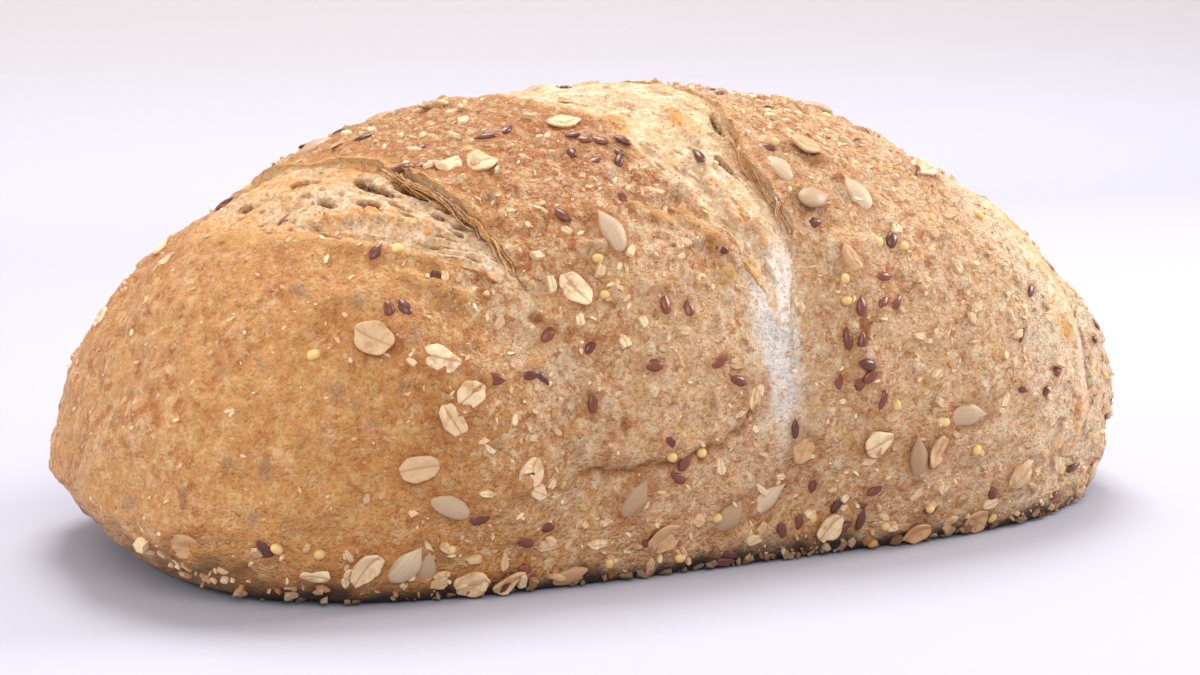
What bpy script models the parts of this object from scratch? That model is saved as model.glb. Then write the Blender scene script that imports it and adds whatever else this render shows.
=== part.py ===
"""A multigrain loaf: hand-shaped bread on its flat base, with three score cuts, kernels and flakes.

The loaf lies along X, its middle over the origin. It rests on z = 0 on the flat middle of its base,
whose edge is a little higher. Every size below is in millimetres and the mesh is written in metres. A
place on the loaf is a station, its X, and an angle round the loaf: 0 is the front side (-Y), 90 the
top and 180 the back.
"""

import bmesh
import bpy
import numpy as np
from mathutils import Matrix

MM = 0.001

# The whole loaf
LENGTH = 250.0
WIDTH = 128.0
HEIGHT = 97.0
BELLY_LEVEL = 0.34  # height of the widest level in the middle, as a share of HEIGHT
TIP_LEVEL = 0.19  # and at the two ends
UNDERCUT = 2.1  # how steeply the sides turn in below the belly
BASE_EDGE = 3.0  # rounding of the edge between side and base
BASE_LIFT = 0.5  # the base stands this far off the table round the part that rests on it
RESTING = ((-85.0, -38.0), (95.0, -42.0), (90.0, 42.0), (-80.0, 36.0))  # corners of that part
RESTING_SPREAD, RESTING_TOP = 1.06, 4.0  # how much wider it is at its top, inside the loaf

# How blunt each end is: the two powers of (1 - |t| ** a) ** (1 / b), for the left and the right end
PLAN_POWERS = ((4.9, 2.45), (4.3, 1.8))
TOP_POWERS = ((2.1, 1.8), (2.1, 1.45))
BASE_POWERS = ((3.2, 1.4), (5.3, 2.2))
SECTION_POWER = 0.95

# The score cuts. Seen from above a cut's middle line is x = at + lean * s + bow * s * s, where s runs
# from -1 at the back side to 1 at the front side. middle and reach say where along s it is open, half
# is half its greatest width along X, and taper how pointed its ends are.
CUTS = (
    {"at": -86.0, "lean": 19.0, "bow": 29.0, "middle": 0.30, "reach": 0.58, "half": 12.5, "taper": 0.75},
    {"at": -14.0, "lean": 33.0, "bow": -8.0, "middle": 0.0, "reach": 1.0, "half": 20.5, "taper": 0.9},
    {"at": 71.0, "lean": 28.0, "bow": -7.0, "middle": 0.55, "reach": 0.60, "half": 7.0, "taper": 0.7},
)
CLOSED_HALF = 1.5  # half width of the seam that a cut leaves where it is closed
OPEN_FROM, OPEN_TO = -0.35, 0.05  # sine of the angle over which a cut fades out below the belly

# The crust beside a cut: the plain lip on its left, and on its right the ear that leans over it
LIP_RISE, LIP_REACH = 0.8, 6.0
EAR_RISE, EAR_REACH = 2.2, 7.0
EAR_LEAN, EAR_LEAN_REACH = 2.4, 4.0
# The crumb across an open cut, from lip (0) to ear (1): rise over the plain form, and shift along X
CRUMB_AT = (0.0, 0.08, 0.28, 0.52, 0.76, 0.92, 1.0)
CRUMB_RISE = (0.8, -0.6, -0.2, 0.9, -1.4, -3.4, -1.2)
CRUMB_SHIFT = (0.0, 0.0, 0.0, 0.0, 0.4, 1.2, 0.6)

WAIST_DEPTH, WAIST_REACH = 2.2, 15.0  # the loaf is drawn in along each cut
FOLD_AT, FOLD_LEVEL, FOLD_BOW = -25.0, -6.0, 0.012  # a crease on the front side, below the middle
FOLD_DEPTH, FOLD_REACH, FOLD_BAND = 0.8, 14.0, 8.0
LUMP_RISE, LUMP_COUNT, LUMP_SEED = 0.55, 14, 11
LUMP_LENGTHS = (24.0, 70.0)
CALM_HEIGHT = 12.0  # all relief fades out below this height

# Toppings: length, width and thickness, the share of the thickness that stands out of the crust, and
# how pointed the far end is
KERNEL = {"size": (10.0, 5.6, 3.0), "proud": 0.62, "point": 0.55}
FLAKE = {"size": (8.0, 5.8, 1.5), "proud": 0.75, "point": 0.0}
RINGS, SIDES, BLUNTNESS = 3, 5, 2.4
TABLE_GAP = 0.9  # no topping comes nearer to the table
SHORTEST_EDGE = 0.05

# Kernels and flakes seen on the front and top: station, angle round the loaf, and turn, where 0
# points to +X and 90 up round the loaf
KERNEL_SPOTS = (
    (-26, 37, 108), (19, 50, 118), (35, 44, 110), (23, 41, 10), (54, -1, 0), (41, -9, 100), (-25, -12, 60),
    (-2, -18, 50), (7, -16, 35), (-66, -8, 155), (-69, -23, 90), (-73, -21, 60), (-37, -28, 15),
)
FLAKE_SPOTS = (
    (-65, 8, 120), (-72, 1, 5), (-49, -4, 60), (-61, 12, 35), (-66, 20, 160), (-78, 28, 140), (-52, 62, 0),
    (-46, 59, 175), (-36, 27, 120), (27, 55, 150), (28, 28, 115), (31, -6, 20), (14, -7, 60), (2, 4, 75),
    (44, -25, 30), (46, -8, 60), (71, -15, 30), (-59, -27, 10), (-51, -27, 25), (-81, -22, 60),
    (-90, -26, 0), (-18, -20, 35), (-24, 68, 170), (60, 58, 20),
)
# More of them by rule: how many tries, how far apart and from a cut, the share of kernels, and how much
# of the length they cover. The angles are those of the base edge, front and back, then of the top and back
SCATTER_SEED = 5
SCATTER_TRIES = 900
SCATTER_GAP, CUT_GAP, LOWEST_SPOT = 13.0, 4.0, 2.0
SCATTER_KERNELS, SCATTER_FLAKES, KERNEL_SHARE = 18, 52, 0.25
SCATTER_LENGTH = 0.93
SCATTER_ANGLES = ((-27.0, -21.0), (201.0, 207.0), (84.0, 200.0), (84.0, 200.0), (84.0, 200.0))

# The mesh: rows round the upper loaf and under it, and columns in each stretch from end to end
UPPER_ROWS, BASE_ROWS = 44, 8
UPPER_FROM, UPPER_TO = -36.0, 216.0
END_COLUMNS, CRUST_COLUMNS = (10, 8), (10, 9)

CRUST_COLOUR = (0.60, 0.33, 0.14, 1.0)
CRUST_ROUGHNESS = 0.62


def ease(t):
    """3t^2 - 2t^3 between 0 and 1."""
    t = np.clip(t, 0.0, 1.0)
    return t * t * (3.0 - 2.0 * t)


def by_end(t, powers):
    """(1 - |t|^a)^(1/b), with the left end's powers where t is negative and the right end's elsewhere."""
    left, right = (np.clip(1.0 - np.abs(t) ** a, 0.0, 1.0) ** (1.0 / b) for a, b in powers)
    return np.where(t < 0.0, left, right)


def plain_form(x, angle):
    """The loaf with no cuts: across, a half ellipse over a lower one that turns in and ends at the table."""
    t = x / (LENGTH / 2.0)
    across, up = np.cos(angle), np.sin(angle)
    belly = HEIGHT * (TIP_LEVEL + (BELLY_LEVEL - TIP_LEVEL) * (1.0 - t * t))
    y = -WIDTH / 2.0 * by_end(t, PLAN_POWERS) * np.sign(across) * np.abs(across) ** SECTION_POWER
    high = belly + (HEIGHT - belly) * by_end(t, TOP_POWERS) * np.abs(up) ** SECTION_POWER
    low = belly * (1.0 - UNDERCUT * np.abs(up) * by_end(t, BASE_POWERS))
    rounded = (low + BASE_EDGE) ** 2 / (4.0 * BASE_EDGE)
    low = np.where(low < -BASE_EDGE, 0.0, np.where(low > BASE_EDGE, low, rounded))
    low = np.maximum(low, BASE_LIFT)
    return np.stack([x + 0.0 * y, y, np.where(up >= 0.0, high, low)], axis=-1)


def cut_lines(angle):
    """For each cut, the stations of its lip and ear at these angles, and how open it is there, 0 to 1."""
    s = np.cos(angle)
    lines = []
    for cut in CUTS:
        middle = cut["at"] + cut["lean"] * s + cut["bow"] * s * s
        inside = np.clip(1.0 - ((s - cut["middle"]) / cut["reach"]) ** 2, 0.0, 1.0) ** cut["taper"]
        opened = inside * ease((np.sin(angle) - OPEN_FROM) / (OPEN_TO - OPEN_FROM))
        half = np.maximum(CLOSED_HALF, cut["half"] * opened)
        lines.append((middle - half, middle + half, opened))
    return lines


def columns():
    """Stretch number of every column and its share along it: left end, cut, crust, cut and so on."""
    crumb = list(CRUMB_AT)
    crust = [np.arange(1, n) / n for n in CRUST_COLUMNS]
    left = np.arange(1, END_COLUMNS[0]) / END_COLUMNS[0]
    right = np.arange(1, END_COLUMNS[1]) / END_COLUMNS[1]
    shares = (left, crumb, crust[0], crumb, crust[1], crumb, right)
    stretch = np.concatenate([np.full(len(f), i) for i, f in enumerate(shares)])
    return stretch, np.concatenate(shares)


def stations(stretch, share, angle):
    """X of every column at these angles; the end stretches crowd towards the tips, as a quarter sine."""
    edges = [np.full_like(angle, -LENGTH / 2.0)]
    for lip, ear, _ in cut_lines(angle):
        edges += [lip, ear]
    edges = np.stack([*edges, np.full_like(angle, LENGTH / 2.0)])
    last = len(edges) - 2
    quarter = share * np.pi / 2.0
    along = np.where(stretch == 0, 1.0 - np.cos(quarter), np.where(stretch == last, np.sin(quarter), share))
    low, high = edges[stretch], edges[stretch + 1]
    return low + (high - low) * along[:, None]


def lumps(points):
    """A sum of LUMP_COUNT plane waves of uneven length and direction."""
    draw = np.random.default_rng(LUMP_SEED)
    total = np.zeros(points.shape[:-1])
    for _ in range(LUMP_COUNT):
        way = draw.normal(size=3)
        way *= 2.0 * np.pi / (np.linalg.norm(way) * draw.uniform(*LUMP_LENGTHS))
        total += np.sin(points @ way + draw.uniform(0.0, 2.0 * np.pi))
    return total / np.sqrt(LUMP_COUNT)


def relief(x, angle, points, stretch, share):
    """Rise along the normal and shift along X, from lips, ears, crumb, waists, the fold and lumps."""
    rise = LUMP_RISE * lumps(points)
    shift = np.zeros_like(rise)
    for i, (lip, ear, opened) in enumerate(cut_lines(angle)):
        before, after = np.maximum(lip - x, 0.0), np.maximum(x - ear, 0.0)
        left, right = x <= lip, x >= ear
        rise += np.where(left, LIP_RISE * opened * np.exp(-before / LIP_REACH), 0.0)
        rise += np.where(right, EAR_RISE * opened * np.exp(-after / EAR_REACH), 0.0)
        shift -= np.where(right, EAR_LEAN * opened * np.exp(-after / EAR_LEAN_REACH), 0.0)
        inside = (stretch == 2 * i + 1)[:, None] & ~left & ~right
        rise += np.where(inside, opened * np.interp(share, CRUMB_AT, CRUMB_RISE)[:, None], 0.0)
        shift += np.where(inside, opened * np.interp(share, CRUMB_AT, CRUMB_SHIFT)[:, None], 0.0)
        rise -= WAIST_DEPTH * np.exp(-(((x - (lip + ear) / 2.0) / WAIST_REACH) ** 2)) * (1.0 - 0.5 * opened)
    fold = np.degrees(angle) - FOLD_LEVEL - FOLD_BOW * (x - FOLD_AT) ** 2
    fade = np.exp(-(((x - FOLD_AT) / FOLD_REACH) ** 4))
    rise += FOLD_DEPTH * fade * np.tanh(fold) * np.exp(-((fold / FOLD_BAND) ** 2))
    on_side = ease((points[..., 2] - BASE_LIFT) / CALM_HEIGHT)
    return rise * on_side, shift * on_side


class Form:
    """The finished surface of the loaf on a grid of columns along it and angles round it."""

    def __init__(self, stretch, share, angle):
        x = stations(stretch, share, angle)
        points = plain_form(x, angle)
        before = plain_form(x, angle - 0.01)
        after = plain_form(x, angle + 0.01)
        step = np.where(np.abs(x) < LENGTH / 2.0 - 0.3, 0.1, 0.01)
        along = plain_form(x + step, angle) - plain_form(x - step, angle)
        normal = np.cross(along, after - before)
        normal /= np.maximum(np.linalg.norm(normal, axis=-1, keepdims=True), 1e-12)
        rise, shift = relief(x, angle, points, stretch, share)
        self.x, self.angle = x, angle
        self.points = points + rise[..., None] * normal
        self.points[..., 0] += shift
        self.normal = normal

    def place(self, station, degrees):
        """The surface point and outward normal at a station and an angle, blended from the grid."""
        turn = np.radians(degrees) % (2.0 * np.pi)
        start = self.angle[0] % (2.0 * np.pi)
        rings = (self.angle - self.angle[0]) % (2.0 * np.pi)
        at = (turn - start) % (2.0 * np.pi)
        j = int(np.searchsorted(rings, at, side="right") - 1)
        k = (j + 1) % len(rings)
        width = (rings[k] - rings[j]) % (2.0 * np.pi)
        blend = (at - rings[j]) / width
        found = []
        for ring in (j, k):
            found.append([np.interp(station, self.x[:, ring], field[:, ring, axis])
                          for field in (self.points, self.normal) for axis in range(3)])
        values = (1.0 - blend) * np.array(found[0]) + blend * np.array(found[1])
        return values[:3], values[3:] / np.linalg.norm(values[3:])


def round_angles():
    """Angles once round the loaf, close together on the sides and top and further apart under the base."""
    upper = np.linspace(UPPER_FROM, UPPER_TO, UPPER_ROWS, endpoint=False)
    base = np.linspace(UPPER_TO, UPPER_FROM + 360.0, BASE_ROWS, endpoint=False)
    return np.radians(np.concatenate([upper, base]))


def loaf_mesh(form):
    """The loaf as one closed mesh: a net of quads from tip to tip, with a fan at each tip."""
    count, rings = form.x.shape
    tips = [plain_form(np.array(end * LENGTH / 2.0), np.array(0.0)) for end in (-1.0, 1.0)]
    vertices = np.concatenate([form.points.reshape(-1, 3), tips]) * MM
    index = np.arange(count * rings).reshape(count, rings)
    turned = np.roll(index, -1, axis=1)
    quads = np.stack([index[:-1], index[1:], turned[1:], turned[:-1]], axis=-1).reshape(-1, 4)
    first, last = count * rings, count * rings + 1
    faces = quads.tolist()
    faces += [[first, a, b] for a, b in zip(index[0], turned[0])]
    faces += [[last, b, a] for a, b in zip(index[-1], turned[-1])]
    mesh = bpy.data.meshes.new("loaf")
    mesh.from_pydata(vertices.tolist(), [], faces)
    mesh.update()
    return mesh


def topping_mesh(kind):
    """A kernel or flake about its own middle: rings along its length, drawn in to a point at the far end."""
    length, width, thickness = kind["size"]
    bm = bmesh.new()
    rings = []
    for i in range(1, RINGS + 1):
        t = -1.0 + 2.0 * i / (RINGS + 1)
        full = (1.0 - abs(t) ** BLUNTNESS) ** 0.5 * (1.0 - kind["point"] * max(0.0, t))
        turns = [2.0 * np.pi * (k + 0.5) / SIDES for k in range(SIDES)]
        rings.append([bm.verts.new((t * length / 2.0 * MM, np.cos(a) * full * width / 2.0 * MM,
                                    np.sin(a) * full * thickness / 2.0 * MM)) for a in turns])
    ends = [bm.verts.new((side * length / 2.0 * MM, 0.0, 0.0)) for side in (-1.0, 1.0)]
    for k in range(SIDES):
        n = (k + 1) % SIDES
        bm.faces.new((ends[0], rings[0][n], rings[0][k]))
        bm.faces.new((ends[1], rings[-1][k], rings[-1][n]))
        for low, high in zip(rings, rings[1:]):
            bm.faces.new((low[k], low[n], high[n], high[k]))
    bmesh.ops.recalc_face_normals(bm, faces=bm.faces)
    mesh = bpy.data.meshes.new("topping")
    bm.to_mesh(mesh)
    bm.free()
    return mesh


def in_a_cut(x, angle, margin):
    """Whether a place is on the open crumb of a cut, or nearer its edge than the margin."""
    for lip, ear, opened in cut_lines(np.array([angle])):
        if opened[0] > 0.05 and lip[0] - margin < x < ear[0] + margin:
            return True
    return False


def scattered(taken):
    """More kernels and flakes by rule, apart from each other, from those in taken and from the cuts."""
    draw = np.random.default_rng(SCATTER_SEED)
    places = {"kernel": [], "flake": []}
    for _ in range(SCATTER_TRIES):
        x = draw.uniform(-SCATTER_LENGTH, SCATTER_LENGTH) * LENGTH / 2.0
        degrees = draw.uniform(*SCATTER_ANGLES[draw.integers(0, len(SCATTER_ANGLES))])
        turn = draw.uniform(0.0, 180.0)
        kind = "kernel" if draw.random() < KERNEL_SHARE else "flake"
        spot = plain_form(np.array(x), np.radians(np.array(degrees)))
        limit = SCATTER_KERNELS if kind == "kernel" else SCATTER_FLAKES
        if len(places[kind]) >= limit or in_a_cut(x, np.radians(degrees), CUT_GAP):
            continue
        if spot[2] < LOWEST_SPOT:
            continue
        if all(np.linalg.norm(spot - other) > SCATTER_GAP for other in taken):
            places[kind].append((x, degrees, turn))
            taken.append(spot)
    return places


def laid(mesh, form, spot, kind, collection):
    """Lays a topping at a spot (station, angle, turn), sunk so that its proud share stands out."""
    station, degrees, turn = spot
    point, normal = form.place(station, degrees)
    along = np.array([1.0, 0.0, 0.0]) - normal * normal[0]
    along /= np.linalg.norm(along)
    around = np.cross(normal, along)
    way = np.cos(np.radians(turn)) * along + np.sin(np.radians(turn)) * around
    side = np.cross(normal, way)
    thickness = kind["size"][2]
    middle = point + normal * thickness * (kind["proud"] - 0.5)
    obj = bpy.data.objects.new("topping", mesh)
    rows = np.eye(4)
    rows[:3, 0], rows[:3, 1], rows[:3, 2], rows[:3, 3] = way, side, normal, middle * MM
    lowest = min((np.array(v.co) @ rows[2, :3] + rows[2, 3]) / MM for v in mesh.vertices)
    rows[2, 3] += max(0.0, TABLE_GAP - lowest) * MM
    obj.matrix_world = Matrix(rows.tolist())
    collection.objects.link(obj)


def resting_part():
    """The part of the base that rests on the table: four corners at z = 0, a little wider at its top."""
    below = [(x, y, 0.0) for x, y in RESTING]
    above = [(x * RESTING_SPREAD, y * RESTING_SPREAD, RESTING_TOP) for x, y in RESTING]
    sides = [(k, (k + 1) % 4, (k + 1) % 4 + 4, k + 4) for k in range(4)]
    mesh = bpy.data.meshes.new("resting part")
    mesh.from_pydata((np.array(below + above) * MM).tolist(), [], [(3, 2, 1, 0), (4, 5, 6, 7), *sides])
    mesh.update()
    return bpy.data.objects.new("resting part", mesh)


def fused_pieces(form):
    """The resting part and all kernels and flakes, in a collection of their own."""
    collection = bpy.data.collections.new("fused pieces")
    bpy.context.scene.collection.children.link(collection)
    collection.objects.link(resting_part())
    seen = KERNEL_SPOTS + FLAKE_SPOTS
    taken = [plain_form(np.array(float(x)), np.radians(np.array(float(a)))) for x, a, _ in seen]
    more = scattered(taken)
    for kind, spots in ((KERNEL, [*KERNEL_SPOTS, *more["kernel"]]), (FLAKE, [*FLAKE_SPOTS, *more["flake"]])):
        mesh = topping_mesh(kind)
        for spot in spots:
            laid(mesh, form, spot, kind, collection)
    return collection


def fuse(loaf, collection):
    """Joins the collection's objects to the loaf as one solid and removes them."""
    union = loaf.modifiers.new("fuse", "BOOLEAN")
    union.operation = "UNION"
    union.operand_type = "COLLECTION"
    union.solver = "EXACT"
    union.collection = collection
    bpy.context.view_layer.objects.active = loaf
    loaf.select_set(True)
    bpy.ops.object.modifier_apply(modifier=union.name)
    for obj in list(collection.objects):
        bpy.data.objects.remove(obj)
    bpy.data.collections.remove(collection)


def keep_largest(loaf):
    """Drops loose scraps and sealed hollows that the union may leave, and turns quads into triangles."""
    bm = bmesh.new()
    bm.from_mesh(loaf.data)
    left, parts = set(bm.verts), []
    while left:
        part, edge = set(), [left.pop()]
        while edge:
            vertex = edge.pop()
            part.add(vertex)
            near = {e.other_vert(vertex) for e in vertex.link_edges} & left
            left -= near
            edge.extend(near)
        parts.append(part)
    parts.sort(key=len)
    for part in parts[:-1]:
        bmesh.ops.delete(bm, geom=list(part), context="VERTS")
    bmesh.ops.dissolve_degenerate(bm, dist=SHORTEST_EDGE * MM, edges=bm.edges)
    bmesh.ops.triangulate(bm, faces=bm.faces)
    bm.to_mesh(loaf.data)
    bm.free()


def crust_material():
    """Baked crust: golden brown, dull."""
    material = bpy.data.materials.new("crust")
    material.use_nodes = True
    shader = material.node_tree.nodes["Principled BSDF"]
    shader.inputs["Base Color"].default_value = CRUST_COLOUR
    shader.inputs["Roughness"].default_value = CRUST_ROUGHNESS
    shader.inputs["Metallic"].default_value = 0.0
    return material


def main():
    """Builds the loaf as one object of one closed solid."""
    for obj in list(bpy.data.objects):
        bpy.data.objects.remove(obj)
    form = Form(*columns(), round_angles())
    loaf = bpy.data.objects.new("loaf", loaf_mesh(form))
    bpy.context.scene.collection.objects.link(loaf)
    fuse(loaf, fused_pieces(form))
    keep_largest(loaf)
    loaf.data.materials.clear()
    loaf.data.materials.append(crust_material())


main()
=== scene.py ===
"""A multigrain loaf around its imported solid: crust, torn crumb in the score cuts, kernels, flakes and seeds.

A place on the loaf is a station, its X in millimetres, and an angle round it: 0 is the front side (-Y),
90 the top and 180 the back. Shapes are worked out in millimetres and put into meshes in metres.
"""

import bpy
import numpy as np
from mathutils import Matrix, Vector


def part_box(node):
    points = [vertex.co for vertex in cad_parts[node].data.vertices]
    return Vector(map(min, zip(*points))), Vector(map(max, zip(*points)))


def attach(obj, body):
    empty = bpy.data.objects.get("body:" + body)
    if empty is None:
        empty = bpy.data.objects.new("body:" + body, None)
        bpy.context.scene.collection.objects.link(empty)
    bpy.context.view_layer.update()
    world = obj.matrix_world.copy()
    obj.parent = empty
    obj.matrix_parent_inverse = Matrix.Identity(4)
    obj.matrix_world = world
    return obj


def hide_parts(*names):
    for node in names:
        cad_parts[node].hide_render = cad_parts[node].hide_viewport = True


bl_info = {
    "name": "Multigrain loaf",
    "version": (1, 0, 0),
    "blender": (4, 5, 0),
    "location": "3D View > Sidebar > Loaf",
    "description": "Dresses the solid of a multigrain loaf with crust, crumb, kernels, flakes and seeds",
    "category": "Object",
}

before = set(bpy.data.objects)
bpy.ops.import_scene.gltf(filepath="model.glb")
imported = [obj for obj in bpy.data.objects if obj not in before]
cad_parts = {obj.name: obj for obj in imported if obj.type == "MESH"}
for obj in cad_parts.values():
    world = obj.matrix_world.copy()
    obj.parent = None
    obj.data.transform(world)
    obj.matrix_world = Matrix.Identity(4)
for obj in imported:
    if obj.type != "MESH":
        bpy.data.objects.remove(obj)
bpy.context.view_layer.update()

MM = 0.001

# The plain form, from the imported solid's box
LOW, HIGH = (np.array(corner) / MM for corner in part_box("loaf"))
LENGTH = float(HIGH[0] - LOW[0])
PROUD_SIDES, PROUD_TOP = 2.4, 1.5  # what the toppings and the lumps add to the width and the height
WIDTH = float(HIGH[1] - LOW[1]) - PROUD_SIDES
HEIGHT = float(HIGH[2] - LOW[2]) - PROUD_TOP
BELLY_LEVEL, TIP_LEVEL = 0.34, 0.19  # height of the widest level in the middle and at the tips, as shares
UNDERCUT = 2.1  # how steeply the lower part turns in towards the table
BASE_EDGE = 3.0  # height over which it rounds into the base
RESTING = (86.0, 38.0)  # half sizes of the middle of the base, which lies on the table
BASE_LIFT, LIFT_REACH = 0.5, 5.0  # how far the rest of the base stands off it, and over what length
# Powers a and b of the outline (1 - |t|^a)^(1/b), for the left and for the right end
PLAN_POWERS = ((4.9, 2.45), (4.3, 1.8))
TOP_POWERS = ((2.1, 1.8), (2.1, 1.45))
BASE_POWERS = ((3.2, 1.4), (5.3, 2.2))
SECTION_POWER = 0.95  # 1 is an ellipse across, less is fuller

# The score cuts, as bows over the loaf: x = at + lean * s + bow * s * s, with s from -1 at the back to 1 at
# the front; open within reach of middle, half as wide as half says, with ends as pointed as taper says
CUTS = (
    {"at": -86.0, "lean": 19.0, "bow": 29.0, "middle": 0.30, "reach": 0.58, "half": 12.5, "taper": 0.75},
    {"at": -14.0, "lean": 33.0, "bow": -8.0, "middle": 0.0, "reach": 1.0, "half": 20.5, "taper": 0.9},
    {"at": 71.0, "lean": 28.0, "bow": -7.0, "middle": 0.55, "reach": 0.60, "half": 7.0, "taper": 0.7},
)
CLOSED_HALF = 1.5  # half width of the strip of the net where a cut is closed
CUT_OPEN = 0.05  # share from which a cut counts as open
OPEN_FROM, OPEN_TO = -0.35, 0.05  # heights, as sines, between which a cut opens
LIP_RISE, LIP_REACH = 0.8, 6.0
LIP_ROLLS = (0.9, 0.4, 0.0)  # how high the roll of each cut's lip is
ROLL_AT, ROLL_REACH = 1.2, 2.0  # how far before the lip it lies, and how wide it is
EDGE_TONES = (1.0, 0.8, 0.25)  # how golden the lips and ears of each cut are
VALLEY_DUST = (0.25, 1.0, 0.4)  # how floury the front end of each crumb is
EAR_RISE, EAR_REACH = 2.2, 7.0
EAR_LEAN, EAR_LEAN_REACH = 2.4, 4.0
EAR_LEAST = 0.45  # share of an ear that is left where no groove is torn under it
# The section of the crumb: shares of the way from lip to ear, and its rise and shift there
CRUMB_AT = (0.0, 0.08, 0.28, 0.52, 0.76, 0.92, 1.0)
CRUMB_RISE = (0.8, -0.6, -0.2, 0.9, -1.4, -3.4, -1.2)
CRUMB_SHIFT = (0.0, 0.0, 0.0, 0.0, 0.4, 1.2, 0.6)
CRUMB_SWELL = (0.0, 0.7, 0.6, 0.4, 2.4, 4.5, 2.2)  # added where no groove is torn
# Angles along each cut, and how deep a groove is torn under its ear there, 0 to 1
GROOVES = (((28.0, 38.0, 58.0, 70.0, 84.0), (0.5, 1.0, 0.9, 0.25, 0.0)),
           ((4.0, 28.0, 42.0, 58.0, 76.0), (0.2, 0.35, 1.0, 0.8, 0.1)),
           ((-10.0, 10.0, 40.0, 60.0), (0.2, 0.35, 0.3, 0.0)))
FLOOR_DROP = 3.0  # the crust's own floor lies this far below the crumb that covers it
RAGGED = ((1.3, 8.0), (0.6, 2.4))  # how far the edges of a cut wander, and over what length
# Bays of the lips and ears seen: cut, side (0 lip, 1 ear), angle, reach in degrees, shift along X
BAYS = (
    (0, 0, 50, 8, -4.6), (0, 0, 62, 5, -1.5), (1, 0, 68, 7, 4), (1, 1, 32, 8, 1.2), (1, 0, 33, 5, 1.8),
    (1, 1, 52, 9, -3.6), (1, 1, 72, 6, 1.8), (0, 1, 72, 9, 1.5),
)

WAIST_DEPTH, WAIST_REACH = 2.2, 15.0
# The fold along the foot of the front: its middle station, its angle there and how that bows; its height
FOLD_AT, FOLD_LEVEL, FOLD_BOW = -25.0, -6.0, 0.012
FOLD_DEPTH, FOLD_REACH, FOLD_WIDTH = 0.8, 14.0, 8.0
LUMP_RISE, LUMP_COUNT, LUMP_SEED = 0.55, 14, 11
LUMP_LENGTHS = (24.0, 70.0)
GRAIN = ((0.72, 8.0), (0.48, 3.4), (0.32, 1.7))  # unevenness of the crust: height and size of each layer
SOFT_RISE, SOFT_SIZE = 1.1, 4.6  # height and size of the soft bumps of the smoothest crust
RELIEF_FADE, GRAIN_FADE = 12.0, 6.0  # heights over the table within which relief and unevenness fade
SMOOTHEST, SMOOTH_TO, SMOOTH_FADE = 0.38, -84.0, 34.0  # roughness of the left end, and where it goes up to 1
# Domes over large and small buried grains: height, size of a cell, reach in cells, share of cells without
DOMES = ((1.0, 4.4, 0.50, 0.45), (0.60, 2.4, 0.46, 0.55))
DOME_EDGE, DOME_BEND, DOME_BEND_SIZE = 0.34, 1.3, 5.0  # width of their edge, and the noise that bends them
WALL_RISE, SUNKEN_RISE = 0.40, 0.45  # heights of the dough round the seeds and over the buried ones

# Browned and pale patches of the crust: share, station and reach, angle and reach
BROWNED = ((0.62, -32, 22, 62, 26), (0.35, -72, 17, 20, 24))
PALED = ((1.5, 8, 7, 14, 20),)

# The mesh of the crust: rows round the upper loaf and under it, and columns in each stretch along it
UPPER_ROWS, BASE_ROWS = 270, 12
UPPER_FROM, UPPER_TO = -36.0, 216.0  # angles of the upper rows
STRETCH_COLUMNS = (84, 14, 64, 14, 78, 12, 70)

# Spots of toppings: station, angle round the loaf, and turn, where 0 points to +X and 90 up round the loaf.
# Those that can be told apart stand at their own places, the others are spread by rule.
KERNEL_SPOTS = (
    (-26, 37, 108), (19, 50, 118), (35, 44, 110), (23, 41, 10), (54, -1, 0), (41, -9, 100), (-25, -12, 60),
    (-2, -18, 50), (7, -16, 35), (-66, -8, 155), (-69, -23, 90), (-73, -21, 60), (-37, -28, 15),
)
FLAKE_SPOTS = (
    (-65, 8, 120), (-72, 1, 5), (-49, -4, 60), (-61, 12, 35), (-66, 20, 160), (-78, 28, 140), (-52, 62, 0),
    (-46, 59, 175), (-36, 27, 120), (27, 55, 150), (28, 28, 115), (31, -6, 20), (14, -7, 60), (2, 4, 75),
    (44, -25, 30), (46, -8, 60), (71, -15, 30), (-59, -27, 10), (-51, -27, 25), (-81, -22, 60),
    (-90, -26, 0), (-18, -20, 35), (-24, 68, 170), (60, 58, 20),
)
CLEARANCE = 0.4  # no topping reaches nearer the table
TOAST_FROM, TOAST_REACH = 0.8, 4.0  # height up to which toppings are darkened, as toast and painted shade near the table, and over what height that ends
# The scattered kernels and flakes: seed and tries, gaps to each other and to a cut and lowest height, counts
# and the kernels' share of the tries, share of the length, and ranges of angles, each as likely
SCATTER_SEED, SCATTER_TRIES = 5, 900
SCATTER_GAP, CUT_GAP, LOWEST_SPOT = 13.0, 4.0, 2.0
SCATTER_KERNELS, SCATTER_FLAKES, KERNEL_SHARE = 18, 52, 0.25
SCATTER_LENGTH = 0.93
SCATTER_ANGLES = ((-27.0, -21.0), (201.0, 207.0), (84.0, 200.0), (84.0, 200.0), (84.0, 200.0))
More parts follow.
